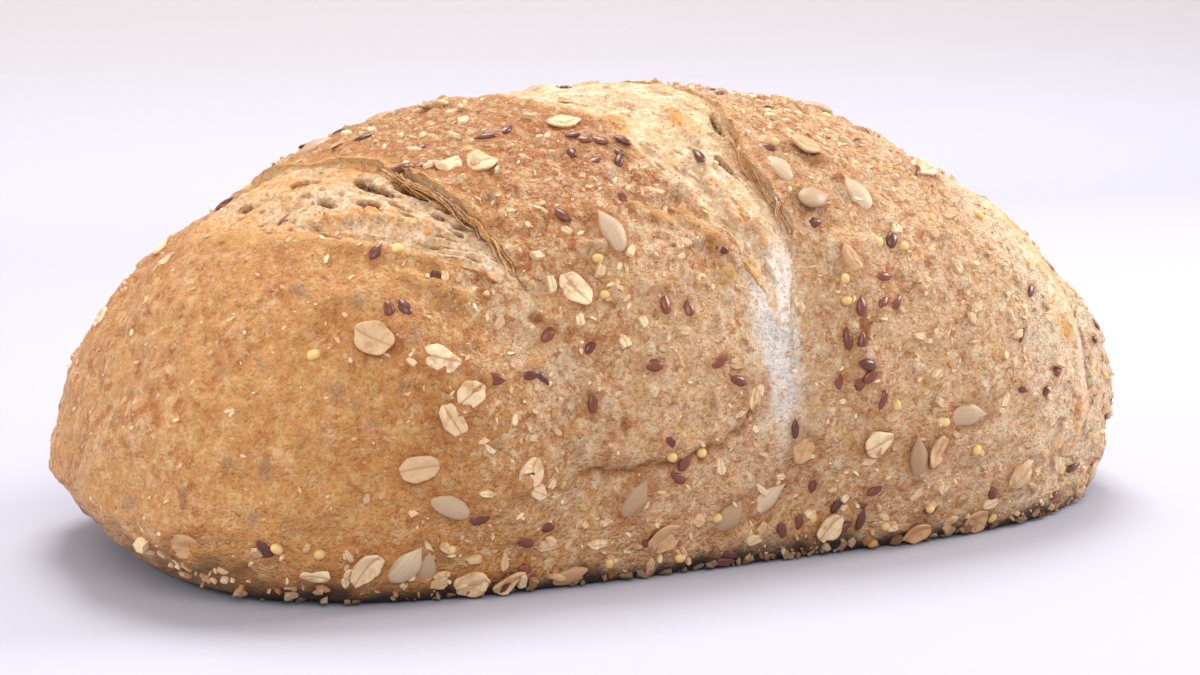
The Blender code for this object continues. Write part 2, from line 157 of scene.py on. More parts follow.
# Smaller toppings that the solid doesn't have
CHIP_SPOTS = (
    (-65, 13, 40), (-57, -7, 20), (-82, -4, 70), (-12, 44, 30), (-38, 44, 130), (-3, 10, 0), (-2, 1, 35),
    (23, -1, 60), (46, -10, 10), (47, 3, 80), (-31, -16, 20), (-14, -11, 40), (-6, -8, 100), (9, -13, 60),
    (-23, 32, 60), (22, -15, 20), (-51, 65, 90), (-13, 51, 10), (19, 27, 5), (-65.2, 37, 85),
    (-61.6, 36, 85), (-76, 24, 145), (-72, 21, 140), (-78, 56, 30), (4, 51, 120), (-8, 70, 20),
    (-4, 86, 70), (2, 72, 0), (-14, 104, 40), (-2, 118, 100), (-20, 132, 20), (86, 30, 60), (88, 52, 10),
    (-17, 80, 0), (8, 62, 30),
)
FLAX_SPOTS = (
    (-35, 42, 120), (-2, 32, 135), (-17, 22, 90), (-12, 20, 90), (-43, 20, 50), (-34, 16, 40),
    (-22, 11, 165), (-7, 10, 25), (-35, 6, 90), (-48, 13, 0), (-73, 46, 40), (-74, 33, 90), (-71, 32, 110),
    (-57, 63, 20), (-54, 71, 15), (-42, 67, 170), (-37, 68, 30), (-27, 57, 80), (-23, 54, 20),
    (-20, 59, 130), (-18, 53, 60), (-15, 58, 140), (-59, -12, 10), (-15, -6, 70), (-16, -9, 150),
    (39, 33, 60), (35, 25, 0), (34, 20, 40), (28, 19, 80), (21, 36, 0), (24, 13, 90), (27, 12, 80),
    (22, 5, 90), (29, 6, 30), (12, -3, 90), (24, -18, 60), (18, -14, 90), (32, -15, 20), (-84.5, 70, 40),
    (-59.7, 64.5, 160), (-63.4, 37, 80), (1, 53, 90), (-10, 92, 30), (-22, 124, 80),
)
MILLET_SPOTS = (
    (-30, 32, 0), (-30, 25, 0), (-89, 30, 0), (-69, 45, 0), (-11, -5, 0), (42, 32, 0), (25, 20, 0),
)
SUNKEN_SPOTS = (
    (-97, 55, 80), (-79, 37, 90), (-104, 38, 60), (-98, 34, 100), (-117, 57, 90), (-113, 5, 80),
    (-120, 55, 0), (-56, 2, 40), (63, 38, 90), (74, 31, 90), (-9, 2, 90), (-79, 27, 80), (-86, 20, 100),
    (-93, 14, 60), (-70, 26, 90), (-100, 8, 90), (-88, 45, 120),
)
MARK_DEPTH = 4.0  # how far through the crust a mark or a seed reaches
# Pits (height below 0) and blisters seen on the crust: station, angle, turn, half length, half width, height
MARKS = (
    (-45, 23, 0, 1.4, 1.2, -1.5), (-28, 1.5, 90, 2.2, 0.9, -1.2), (28.7, 15, 90, 3, 1.3, -1.3),
    (55, 24, 0, 1, 0.8, -0.8), (56, 47, 0, 1, 0.8, -0.8), (-47, 15, 10, 3.2, 1.9, 1.1),
    (-13, 39, 150, 3.4, 1.6, 0.9), (-7, 38.5, 140, 3.8, 1.9, 1.1), (-2.4, 33.5, 120, 3.6, 1.8, 1.1),
    (-1, 27, 100, 3, 1.6, 1), (-18, 41, 160, 2.6, 1.4, 0.8), (-64, 34.5, 160, 3.4, 1.6, 1.2),
    (-59, 31.5, 150, 2.6, 1.5, 1), (-68, 38.5, 150, 2.8, 1.5, 1), (-10, -5.5, 40, 1.4, 1, -1),
    (-6, 15, 90, 1.2, 0.9, 0.6), (-35, 32, 20, 1.6, 1, -0.7), (12, 22, 60, 1.4, 0.8, -0.7),
    (-84, 33, 20, 1.2, 1, 0.6), (-80, 20, 0, 1.3, 1.1, 0.6), (-101, 25, 0, 1.5, 1, 0.5),
)
# The crease along the fold: stations and angles of its line, its depth and width, and the roll over it
CREASE_LINE = ((-42.0, -30.0, -18.0, -8.0, -2.0, 5.0), (-7.2, -6.8, -6.0, -5.0, -1.8, 6.5))
CREASE_DEPTH, CREASE_REACH, CREASE_ROLL = 1.4, 0.8, 0.45

KERNEL_NET, FLAKE_NET, FLAX_NET, MILLET_NET = (17, 20), (11, 26), (6, 8), (7, 10)  # rows and ring of each
CHIP_CORNERS, BRAN_CORNERS, GRAIN_CORNERS = 8, 5, 6  # of a flake chip, a speck of bran and a base grain
GRAIN_SHARES = (0.85, 0.9, 1.8)  # size of a base grain, as shares of a flake chip
SUNKEN_COUNT, FLAX_COUNT, MILLET_COUNT, CHIP_COUNT = 44, 120, 60, 900
BRAN_COUNT, BASE_GRAIN_COUNT = 3600, 520

# The crumb of each cut: the angles between which it shows, samples across and along, the size of its
# pores, the share of cells that have one, how deep they are, how torn it is, how far it is stretched,
# how browned it is all over, and how dark its shaded patches are
CRUMBS = (
    {"from": 24.0, "to": 116.0, "across": 110, "along": 380, "pore": 3.2, "share": 0.20, "deep": 1.6,
     "torn": 1.0, "stretch": 0.50, "baked": -0.02, "shaded": 0.24},
    {"from": 2.0, "to": 178.0, "across": 110, "along": 560, "pore": 3.0, "share": 0.16, "deep": 1.1,
     "torn": 0.55, "stretch": 0.28, "baked": -0.24, "shaded": 0.08},
    {"from": -14.0, "to": 88.0, "across": 44, "along": 300, "pore": 2.2, "share": 0.20, "deep": 0.5,
     "torn": 0.35, "stretch": 0.35, "baked": 0.10, "shaded": 0.10},
)
CRUMB_UNDER = 10  # samples across the underside
CRUMB_SINK, CRUMB_TUCK, CRUMB_CLOSE = 2.5, 0.6, 1.5  # how deep the underside, the edges and the ends lie
CRUMB_EDGE = 0.04  # share across the crumb over which its edges set in
DEGREES_PER_MM = 0.9  # of angle along a cut
STRAND_NET = (9, 5)  # rows and ring of a torn strand
# Torn strands: cut, the angles between which they hang, how many, and their seed
STRANDS = ((0, 38.0, 68.0, 64, 91), (1, 40.0, 64.0, 10, 92))
# Larger holes seen in the crumb: cut, share across, angle, half length along and across, depth
CRUMB_HOLES = (
    (0, 0.72, 66, 5.2, 1.4, 3.2), (0, 0.62, 78, 2.6, 1.3, 2.6), (0, 0.86, 61, 4, 1.3, 2.6),
    (0, 0.80, 47, 1.6, 0.9, 2.2), (0, 0.72, 50.5, 1.4, 0.9, 2.2), (0, 0.84, 52.5, 1.6, 0.9, 2.4),
    (0, 0.66, 45, 1.5, 0.8, 2), (0, 0.35, 86, 2.6, 0.9, 1.6), (0, 0.46, 58, 2, 0.8, 1.8),
    (0, 0.52, 52, 1.6, 0.8, 1.8), (0, 0.40, 66, 2.4, 0.8, 1.8), (0, 0.60, 56.5, 1.6, 0.8, 2),
    (1, 0.72, 52, 2.8, 1.3, 2), (1, 0.60, 84, 1.6, 0.8, 1), (1, 0.88, 66, 3.4, 0.9, 1.6),
    (1, 0.40, 112, 2, 0.8, 1.2),
)
# Lumps seen in the crumb: cut, station, angle, half length along the cut and across it, height, how toasted
CRUMB_LUMPS = (
    (0, -80, 62.5, 2.6, 1.5, 1.1, 0.5), (0, -77, 60.5, 2.4, 1.6, 1.5, 0.8),
    (0, -73.8, 58.2, 2.8, 1.5, 1.3, 0.6), (0, -70.8, 56.4, 2.2, 1.7, 1.6, 0.9),
    (0, -67.6, 53.3, 2.8, 1.4, 1.3, 0.7), (0, -64.8, 50.6, 2.2, 1.4, 1.2, 0.8),
    (0, -62, 48, 2.6, 1.2, 0.8, 0.5), (0, -82, 74, 3, 1.6, 0.8, 0.4), (0, -62, 37, 3, 2, 1, 0.9),
    (1, 3, 63, 8, 2.6, 1.6, 1), (1, -12, 66, 4, 2.2, 0.9, 0.8), (1, -8, 57, 3, 1.8, 0.8, 0.6),
    (1, 4.7, 39, 4.6, 2.2, 1.3, 0.7), (1, 9.5, 34, 4.2, 1.8, 1.2, 0.5), (1, 1.5, 46, 2.4, 1.6, 0.9, 0.9),
    (1, -20, 74, 3, 1.8, 0.7, 0.7), (1, -6, 76, 4, 2, 0.8, 0.5), (1, 6, 80, 3.6, 2.2, 0.9, 0.7),
    (1, 5, 27, 3.6, 1.6, 0.8, 0.8), (1, -2, 100, 5, 2.4, 0.9, 0.7), (1, -16, 120, 4, 2.2, 0.8, 0.6),
    (1, -22, 150, 5, 1.6, 0.8, 0.7), (1, -9, 128, 3, 2, 0.9, 0.5), (1, -20, 108, 4, 1.8, 0.8, 0.9),
    (1, 3, 108, 5, 1.6, 0.8, 0.9), (2, 90, 20, 5, 1.8, 0.5, 0.2), (1, -14, 96, 3, 2.2, 0.8, 0.4),
    (1, -26, 140, 4, 2, 0.8, 0.8),
)

# Where the smaller toppings fall: low and high station, low and high angle, weight. The left end has few.
TOPPED_ZONES = (
    (-75, 118, 60, 200, 5), (40, 118, -20, 60, 1.3), (-60, 40, -24, 60, 1), (-118, -75, 90, 200, 0.6),
    (-105, 112, -28, -16, 0.8), (-105, 112, 196, 208, 0.8),
)
EMBEDDED_ZONES = ((-122, -70, -20, 200, 2), (-70, 120, -20, 200, 2))
BASE_ZONES = (
    (-75, 114, -32, -26, 1.4), (-75, 114, 206, 212, 1.4), (-118, -50, -50, -31, 0.8),
    (-118, -50, 211, 230, 0.8), (104, 124, -88, -27, 0.5), (104, 124, 207, 268, 0.5),
)
ALL_ROUND = ((-124, -72, -33, 213, 0.11), (-72, 124, -33, 213, 0.89))

# The camera of the photograph: its place and the way it looks, in millimetres and degrees
VIEW_AZIMUTH, VIEW_ELEVATION, VIEW_ANGLE = -26.0, 9.4, 28.0
VIEW_TARGET = (0.0, 0.0, 50.0)
VIEW_RIGHT, VIEW_UP, VIEW_BACK = -2.6, -9.6, 545.0

# The stage: how far the floor reaches, where and how widely it bends up; each light's name, size and place
FLOOR_REACH, FLOOR_BACK, FLOOR_BEND = 1400.0, 520.0, 260.0
LIGHTS = (("top", 0.6, (0.15, 0.40, 1.25)), ("right", 0.5, (1.15, -0.20, 0.65)),
          ("left", 0.7, (-1.20, 0.20, 0.36)), ("front", 0.8, (-0.35, -1.05, 0.75)))
LIGHTS_FACE = (0.0, 0.0, 0.05)  # the place in metres that the lights point to


# Sizes and colours that a user may change


def lengths(name, topping, default):
    """A setting for the length, width and thickness of a topping, in metres."""
    told = f"Length, width and thickness of {topping}"
    return bpy.props.FloatVectorProperty(name=name, description=told, default=default, unit="LENGTH", size=3)


def colour(name, description, default):
    """A colour setting with its default in scene-linear red, green and blue."""
    return bpy.props.FloatVectorProperty(
        name=name, description=description, default=default, subtype="COLOR", size=3, min=0.0, max=1.0)


def power(name, place, default):
    """A setting for the power of a light, in watts."""
    return bpy.props.FloatProperty(
        name=name, description="Power of the light " + place, default=default, unit="POWER")


class LoafSizes(bpy.types.PropertyGroup):
    """Sizes of the toppings and the torn strands, in metres."""

    kernel: lengths("Kernel", "a sunflower kernel", (0.0097, 0.0054, 0.0028))
    flake: lengths("Oat flake", "an oat flake", (0.0076, 0.0056, 0.0011))
    chip: lengths("Flake chip", "a broken flake", (0.0042, 0.0030, 0.0010))
    flax: lengths("Flax seed", "a flax seed", (0.0047, 0.0024, 0.0012))
    millet: lengths("Millet grain", "a millet grain", (0.0024, 0.0022, 0.0020))
    bran: lengths("Bran speck", "a speck of bran", (0.0022, 0.0014, 0.00032))
    strand: bpy.props.FloatProperty(
        name="Strand", description="Thickness of a torn strand under an ear", default=0.0007, unit="LENGTH")


class LoafColours(bpy.types.PropertyGroup):
    """Colours of the crust, the crumb and the toppings."""

    gold: colour("Golden crust", "Crust of the smooth left end", (0.597, 0.275, 0.078))
    tan: colour("Tan crust", "Crust of the middle and right", (0.730, 0.445, 0.238))
    toasted: colour("Toasted crust", "Crust where it baked darkest", (0.451, 0.153, 0.036))
    honey: colour("Honey crust", "Yellower patches of the crust", (0.716, 0.407, 0.141))
    ridge: colour("Golden ridge", "Lips, ears and blisters", (0.730, 0.371, 0.127))
    blister: colour("Blister", "Small orange blisters of the crust", (0.571, 0.195, 0.042))
    pale: colour("Pale crust", "Stretched or floury crust", (0.863, 0.665, 0.451))
    # base: near black, the browned base together with painted shade; also used in the deepest crumb holes and
    # for the grains at the table
    base: colour("Base crust", "Crust near the table", (0.025, 0.010, 0.006))
    crumb: colour("Crumb", "Crumb in the cuts", (0.604, 0.397, 0.209))
    # Painted shade for the crumb's pores, holes, small pits and the groove under the ears
    hollow: colour("Crumb hollows", "Inside the pores of the crumb", (0.287, 0.112, 0.032))
    flour: colour("Flour", "Floury dust", (0.939, 0.839, 0.745))
    kernel: colour("Kernel", "Sunflower kernel", (0.610, 0.451, 0.296))
    kernel_dark: colour("Kernel edge", "Veins and dark kernels", (0.371, 0.220, 0.117))
    flake: colour("Oat flake", "Oat flake", (0.807, 0.617, 0.381))
    flake_dark: colour("Toasted flake", "Crease and toasted flakes", (0.468, 0.238, 0.098))
    flax: colour("Flax seed", "Flax seed", (0.223, 0.054, 0.023))
    flax_dark: colour("Dark flax seed", "Darker flax seeds", (0.093, 0.025, 0.013))
    sunken: colour("Sunken seed", "Seed under a skin of crust", (0.342, 0.188, 0.102))
    millet: colour("Millet", "Millet grain", (0.823, 0.591, 0.223))
    bran: colour("Bran", "Pale specks of bran", (0.871, 0.672, 0.413))
    bran_dark: colour("Dark bran", "Reddish specks of bran", (0.503, 0.175, 0.048))


class LoafStage(bpy.types.PropertyGroup):
    """The pale floor and the soft studio light."""

    floor: colour("Floor", "The floor round the loaf", (0.49, 0.48, 0.55))
    backdrop: colour("Backdrop", "Where the floor curves up", (0.43, 0.405, 0.415))
    sky: bpy.props.FloatProperty(name="Sky", description="Strength of the even light", default=0.52, min=0.0)
    top: power("Top light", "above and behind", 14.8)
    right: power("Right light", "at the right", 13.0)
    left: power("Left light", "at the left", 6.8)
    front: power("Front light", "at the front left", 8.8)


# Numbers as whole arrays


def in_mm(size):
    """A size of the settings in millimetres."""
    return [value / MM for value in size]


def ease(t):
    """3t^2 - 2t^3 between 0 and 1."""
    t = np.clip(t, 0.0, 1.0)
    return t * t * (3.0 - 2.0 * t)


def hill(value, middle, reach):
    """exp(-d^2), with the distance d of a value from the middle in reaches."""
    return np.exp(-(((value - middle) / reach) ** 2))


def eased_steps(share, at, values):
    """A smooth curve through values: between two places the value goes over by ease(), outside it stays."""
    at, values = np.array(at), np.array(values)
    low = np.clip(np.searchsorted(at, share, side="right") - 1, 0, len(at) - 2)
    blend = ease((share - at[low]) / (at[low + 1] - at[low]))
    return values[low] * (1.0 - blend) + values[low + 1] * blend


def lattice(cell, seed):
    """A value from 0 to 1 for each cell, by mixing the bits of its three whole numbers and the seed."""
    cell = cell.astype(np.int64)
    mixed = cell[..., 0] * 73856093 ^ cell[..., 1] * 19349663 ^ cell[..., 2] * 83492791 ^ seed * 49979687
    mixed = (mixed ^ (mixed >> 13)) * 1274126177 & 0x7FFFFFFF
    mixed = (mixed ^ (mixed >> 15)) * 668265263 & 0x7FFFFFFF
    return ((mixed ^ (mixed >> 12)) & 0xFFFFF) / float(0xFFFFF)


def noise(points, size, seed):
    """Smooth noise from -1 to 1: lattice values at the corners of cells of this size, blended by ease()."""
    scaled = points / size
    cell = np.floor(scaled)
    near = ease(scaled - cell)
    total = 0.0
    for corner in np.ndindex(2, 2, 2):
        weight = np.prod(np.where(np.array(corner) == 1, near, 1.0 - near), axis=-1)
        total = total + weight * lattice(cell + np.array(corner), seed)
    return 2.0 * total - 1.0


def pores(points, size, seed):
    """Distance to the nearest of the jittered centres of all cells, in cell sizes, and its random value."""
    scaled = points / size
    cell = np.floor(scaled)
    nearest = np.full(scaled.shape[:-1], 9.0)
    mark = np.zeros(scaled.shape[:-1])
    for corner in np.ndindex(3, 3, 3):
        near = cell + np.array(corner) - 1.0
        centre = near + np.stack([lattice(near, seed + axis) for axis in range(3)], axis=-1)
        distance = np.linalg.norm(scaled - centre, axis=-1)
        closer = distance < nearest
        nearest = np.where(closer, distance, nearest)
        mark = np.where(closer, lattice(near, seed + 7), mark)
    return nearest, mark


# The form of the loaf


def by_end(t, powers):
    """(1 - |t|^a)^(1/b), with the left end's powers where t is negative and the right end's elsewhere."""
    left, right = (np.clip(1.0 - np.abs(t) ** a, 0.0, 1.0) ** (1.0 / b) for a, b in powers)
    return np.where(t < 0.0, left, right)


def plain_form(x, angle):
    """The loaf with no cuts: across, a half ellipse over a lower one that turns in and ends at the table."""
    t = x / (LENGTH / 2.0)
    across, up = np.cos(angle), np.sin(angle)
    belly = HEIGHT * (TIP_LEVEL + (BELLY_LEVEL - TIP_LEVEL) * (1.0 - t * t))
    y = -WIDTH / 2.0 * by_end(t, PLAN_POWERS) * np.sign(across) * np.abs(across) ** SECTION_POWER
    high = belly + (HEIGHT - belly) * by_end(t, TOP_POWERS) * np.abs(up) ** SECTION_POWER
    low = belly * (1.0 - UNDERCUT * np.abs(up) * by_end(t, BASE_POWERS))
    rounded = (low + BASE_EDGE) ** 2 / (4.0 * BASE_EDGE)
    low = np.where(low < -BASE_EDGE, 0.0, np.where(low > BASE_EDGE, low, rounded))
    outside = np.maximum(np.abs(x) - RESTING[0], np.abs(y) - RESTING[1])
    low = np.maximum(low, BASE_LIFT * ease(outside / LIFT_REACH))
    return np.stack([x + 0.0 * y, y, np.where(up >= 0.0, high, low)], axis=-1)


def wandering(angle, number, side):
    """How far the lip, side 0, or the ear, side 1, of a cut wanders along X: noise along it and its bays."""
    arc = angle * WIDTH / 2.0
    along = np.stack([arc, 0.0 * arc + 40.0 * number, 0.0 * arc + 20.0 * side], axis=-1)
    wander = sum(far * noise(along, size, 3 + side) for far, size in RAGGED)
    for at_cut, at_side, level, reach, far in BAYS:
        if (at_cut, at_side) == (number, side):
            wander = wander + far * hill(np.degrees(angle), level, reach)
    return wander


def cut_lines(angle, ragged=True):
    """For each cut, the stations of its lip and ear at these angles, and how open it is there, 0 to 1."""
    s = np.cos(angle)
    lines = []
    for number, cut in enumerate(CUTS):
        middle = cut["at"] + cut["lean"] * s + cut["bow"] * s * s
        inside = np.clip(1.0 - ((s - cut["middle"]) / cut["reach"]) ** 2, 0.0, 1.0) ** cut["taper"]
        opened = inside * ease((np.sin(angle) - OPEN_FROM) / (OPEN_TO - OPEN_FROM))
        half = np.maximum(CLOSED_HALF, cut["half"] * opened)
        lip, ear = middle - half, middle + half
        if ragged:
            lip = lip + ease(3.0 * opened) * wandering(angle, number, 0)
            ear = ear + ease(3.0 * opened) * wandering(angle, number, 1)
        lines.append((lip, ear, opened))
    return lines


def lumps(points):
    """A sum of plane waves of uneven length and direction."""
    draw = np.random.default_rng(LUMP_SEED)
    total = np.zeros(points.shape[:-1])
    for _ in range(LUMP_COUNT):
        way = draw.normal(size=3)
        way *= 2.0 * np.pi / (np.linalg.norm(way) * draw.uniform(*LUMP_LENGTHS))
        total += np.sin(points @ way + draw.uniform(0.0, 2.0 * np.pi))
    return total / np.sqrt(LUMP_COUNT)


def groove_at(number, degrees):
    """How deep a groove is torn under the ear of a cut at these angles, 0 to 1."""
    return eased_steps(degrees, *GROOVES[number])


def crumb_level(number, share, degrees):
    """How high the crumb of a cut stands at a share of the way from its lip to its ear."""
    swell = (1.0 - groove_at(number, degrees)) * eased_steps(share, CRUMB_AT, CRUMB_SWELL)
    return eased_steps(share, CRUMB_AT, CRUMB_RISE) + swell


def waists(x, lines):
    """How far the loaf is drawn in at its cuts: a hill of the distance, half as deep where a cut is open."""
    return sum(WAIST_DEPTH * hill(x, (lip + ear) / 2.0, WAIST_REACH) * (1.0 - 0.5 * opened)
               for lip, ear, opened in lines)


def relief(x, angle, points, lines, crumb=False):
    """Rise along the normal and shift along X, from lips, ears, floors of the cuts, waists, fold and lumps.

    Lips and ears fall off by exp(-d) with the distance d from them, the floors run by eased steps, and the
    fold is tanh(f) times a hill of the angle f from its line. With crumb, each floor is the crumb's own."""
    rise = LUMP_RISE * lumps(points) - waists(x, lines)
    shift = np.zeros_like(rise)
    degrees = np.degrees(angle)
    for number, (lip, ear, opened) in enumerate(lines):
        before, after = np.maximum(lip - x, 0.0), np.maximum(x - ear, 0.0)
        left, right = x <= lip, x >= ear
        rolled = LIP_ROLLS[number] * hill(before, ROLL_AT, ROLL_REACH)
        rise += np.where(left, opened * (LIP_RISE * np.exp(-before / LIP_REACH) + rolled), 0.0)
        torn = EAR_LEAST + (1.0 - EAR_LEAST) * groove_at(number, degrees)
        rise += np.where(right, torn * EAR_RISE * opened * np.exp(-after / EAR_REACH), 0.0)
        shift -= np.where(right, torn * EAR_LEAN * opened * np.exp(-after / EAR_LEAN_REACH), 0.0)
        share = np.clip((x - lip) / (ear - lip), 0.0, 1.0)
        if crumb:
            floor = crumb_level(number, share, degrees)
        else:
            floor = eased_steps(share, CRUMB_AT, CRUMB_RISE) - FLOOR_DROP * np.sin(np.pi * share) ** 0.5
        rise += np.where(left | right, 0.0, opened * floor)
        shift += np.where(left | right, 0.0, opened * eased_steps(share, CRUMB_AT, CRUMB_SHIFT))
    fold = degrees - FOLD_LEVEL - FOLD_BOW * (x - FOLD_AT) ** 2
    fade = np.exp(-(((x - FOLD_AT) / FOLD_REACH) ** 4))
    rise += FOLD_DEPTH * fade * np.tanh(fold) * hill(fold, 0.0, FOLD_WIDTH)
    on_side = ease(points[..., 2] / RELIEF_FADE)
    return rise * on_side, shift * on_side


def plain_normal(x, angle):
    """Outward normal of the plain form, from small steps along and round it."""
    step = np.where(np.abs(x) < LENGTH / 2.0 - 0.3, 0.1, 0.01)
    along = plain_form(x + step, angle) - plain_form(x - step, angle)
    around = plain_form(x, angle + 0.01) - plain_form(x, angle - 0.01)
    normal = np.cross(along, around)
    return normal / np.maximum(np.linalg.norm(normal, axis=-1, keepdims=True), 1e-12)


def buried(points):
    """Large and small domes over buried grains, at jittered centres bent by noise, and their marks."""
    bend = np.stack([noise(points, DOME_BEND_SIZE, 35 + axis) for axis in range(3)], axis=-1)
    domes, marks = [], []
    for number, (_, size, reach, without) in enumerate(DOMES):
        away, mark = pores(points + DOME_BEND * bend, size, 38 + number)
        domes.append(ease((reach - away) / DOME_EDGE) * (mark > without))
        marks.append(mark)
    return domes, np.where(domes[0] > domes[1], *marks)


def roughness(x):
    """How rough the crust is: the left end is the smoothest."""
    return SMOOTHEST + (1.0 - SMOOTHEST) * ease((x - SMOOTH_TO) / SMOOTH_FADE)


def unevenness(x, points):
    """Rise of the crust from the layers of GRAIN, the soft bumps and the domes over buried grains."""
    grain = sum(high * noise(points, size, 30 + layer) for layer, (high, size) in enumerate(GRAIN))
    soft = SOFT_RISE * (1.0 - roughness(x)) * noise(points, SOFT_SIZE, 34)
    domes = sum(high * dome for (high, *_), dome in zip(DOMES, buried(points)[0]))
    return ease(points[..., 2] / GRAIN_FADE) * (grain + soft + roughness(x) * domes)


def crust_at(x, angle):
    """The crust, or the crumb in a cut, at stations and angles: its points, and its outward normals."""
    points, normal = plain_form(x, angle), plain_normal(x, angle)
    rise, shift = relief(x, angle, points, cut_lines(angle), crumb=True)
    rise = rise + unevenness(x, points)
    points = points + rise[..., None] * normal
    points[..., 0] += shift
    return points, normal


# Meshes from arrays


def net_faces(rows, ring):
    """Quads of a net closed round its ring, and triangles of a fan to one more vertex at each end."""
    index = np.arange(rows * ring).reshape(rows, ring)
    turned = np.roll(index, -1, axis=1)
    quads = np.stack([index[:-1], index[1:], turned[1:], turned[:-1]], axis=-1).reshape(-1, 4)
    first, last = rows * ring, rows * ring + 1
    start = np.stack([np.full(ring, first), index[0], turned[0]], axis=-1)
    end = np.stack([np.full(ring, last), turned[-1], index[-1]], axis=-1)
    return quads, np.concatenate([start, end])


def mesh_object(name, vertices, quads, triangles, material, attributes, smooth=True):
    """Makes an object from vertices in millimetres, whole arrays of faces and a value for each vertex."""
    mesh = bpy.data.meshes.new(name)
    corners = np.concatenate([quads.ravel(), triangles.ravel()]).astype(np.int32)
    sizes = np.concatenate([np.full(len(quads), 4), np.full(len(triangles), 3)]).astype(np.int32)
    mesh.vertices.add(len(vertices))
    mesh.vertices.foreach_set("co", (vertices * MM).astype(np.float32).ravel())
    mesh.loops.add(len(corners))
    mesh.loops.foreach_set("vertex_index", corners)
    mesh.polygons.add(len(sizes))
    mesh.polygons.foreach_set("loop_start", np.concatenate([[0], np.cumsum(sizes)[:-1]]).astype(np.int32))
    for label, values in attributes.items():
        layer = mesh.attributes.new(label, "FLOAT", "POINT")
        layer.data.foreach_set("value", np.asarray(values, dtype=np.float32).ravel())
    mesh.update(calc_edges=True)
    mesh.validate()
    if smooth:
        mesh.shade_smooth()
    else:
        mesh.shade_flat()
    mesh.materials.append(material)
    made = bpy.data.objects.new(name, mesh)
    bpy.context.scene.collection.objects.link(made)
    return made


def put_piece(*mesh):
    """Makes a piece of the loaf, from what mesh_object takes."""
    piece = mesh_object(*mesh)
    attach(piece, "root")
    return piece


def put_net(name, points, ends, material, shares):
    """Makes a closed net from points, as (rows, ring, 3), and two ends, which get the mean of the shares."""
    shares = {label: np.concatenate([values.ravel(), values[[0, -1]].mean(axis=1)])
              for label, values in shares.items()}
    quads, triangles = net_faces(*points.shape[:2])
    return put_piece(name, np.concatenate([points.reshape(-1, 3), ends]), quads, triangles, material, shares)


def put_nets(name, forms, net, material, attributes, smooth=True):
    """Makes one object of many closed nets, from points as (copies, vertices, 3) and one net's size."""
    quads, triangles = net_faces(*net)
    offsets = (np.arange(len(forms)) * forms.shape[1])[:, None, None]
    return put_piece(name, forms.reshape(-1, 3), (quads[None] + offsets).reshape(-1, 4),
                     (triangles[None] + offsets).reshape(-1, 3), material, attributes, smooth)


def put_copies(name, forms, net, spots, lifts, material, tints, smooth=True, tilt=0.0):
    """Makes one object of many closed forms, each turned into the frame of its own spot on the crust.

    forms holds the local points of every copy, net their rows and ring, lifts how far each middle lies above
    the crust, and tilt the slope along and across at which a copy may lie. None is lower than CLEARANCE."""
    slopes = np.random.default_rng(len(forms)).uniform(-tilt, tilt, (len(forms), 1, 2))
    forms = forms.copy()
    forms[..., 2] += (forms[..., :2] * slopes).sum(axis=-1)
    points, way, side, normal = spot_frames(spots)
    middle = points + normal * lifts[:, None]
    placed = (forms[..., :1] * way[:, None] + forms[..., 1:2] * side[:, None]
              + forms[..., 2:] * normal[:, None] + middle[:, None])
    placed[..., 2] += np.maximum(0.0, CLEARANCE - placed[..., 2].min(axis=1))[:, None]
    # low: darker near the table, as toast and painted shade there
    low = 1.0 - ease((placed[..., 2].mean(axis=1) - TOAST_FROM) / TOAST_REACH)
    across = forms[..., 1] / np.abs(forms[..., 1]).max(axis=1, keepdims=True)
    tints, low = (np.repeat(values, forms.shape[1]) for values in (tints, low))
    attributes = {"tint": tints, "toast": low, "across": across}
    return put_nets(name, placed, net, material, attributes, smooth)


# Spots of the scattered toppings


def in_a_cut(x, angle, margin):
    """Whether a place is on the open crumb of a cut, or nearer its edge than the margin."""
    for lip, ear, opened in cut_lines(np.array([angle]), ragged=False):
        if opened[0] > CUT_OPEN and lip[0] - margin < x < ear[0] + margin:
            return True
    return False


def scattered(taken):
    """Kernels and flakes by rule, apart from each other, from those in taken and from the cuts."""
    draw = np.random.default_rng(SCATTER_SEED)
    places = {"kernel": [], "flake": []}
    for _ in range(SCATTER_TRIES):
        x = draw.uniform(-SCATTER_LENGTH, SCATTER_LENGTH) * LENGTH / 2.0
        degrees = draw.uniform(*SCATTER_ANGLES[draw.integers(0, len(SCATTER_ANGLES))])
        turn = draw.uniform(0.0, 180.0)
        kind = "kernel" if draw.random() < KERNEL_SHARE else "flake"
        spot = plain_form(np.array(x), np.radians(np.array(degrees)))
        limit = SCATTER_KERNELS if kind == "kernel" else SCATTER_FLAKES
        if len(places[kind]) >= limit or spot[2] < LOWEST_SPOT or in_a_cut(x, np.radians(degrees), CUT_GAP):
            continue
        if all(np.linalg.norm(spot - other) > SCATTER_GAP for other in taken):
            places[kind].append((x, degrees, turn))
            taken.append(spot)
    return places


def large_spots():
    """All spots of kernels and flakes, those seen and those by rule."""
    seen = KERNEL_SPOTS + FLAKE_SPOTS
    taken = [plain_form(np.array(float(x)), np.radians(np.array(float(a)))) for x, a, _ in seen]
    more = scattered(taken)
    return [*KERNEL_SPOTS, *more["kernel"]], [*FLAKE_SPOTS, *more["flake"]]


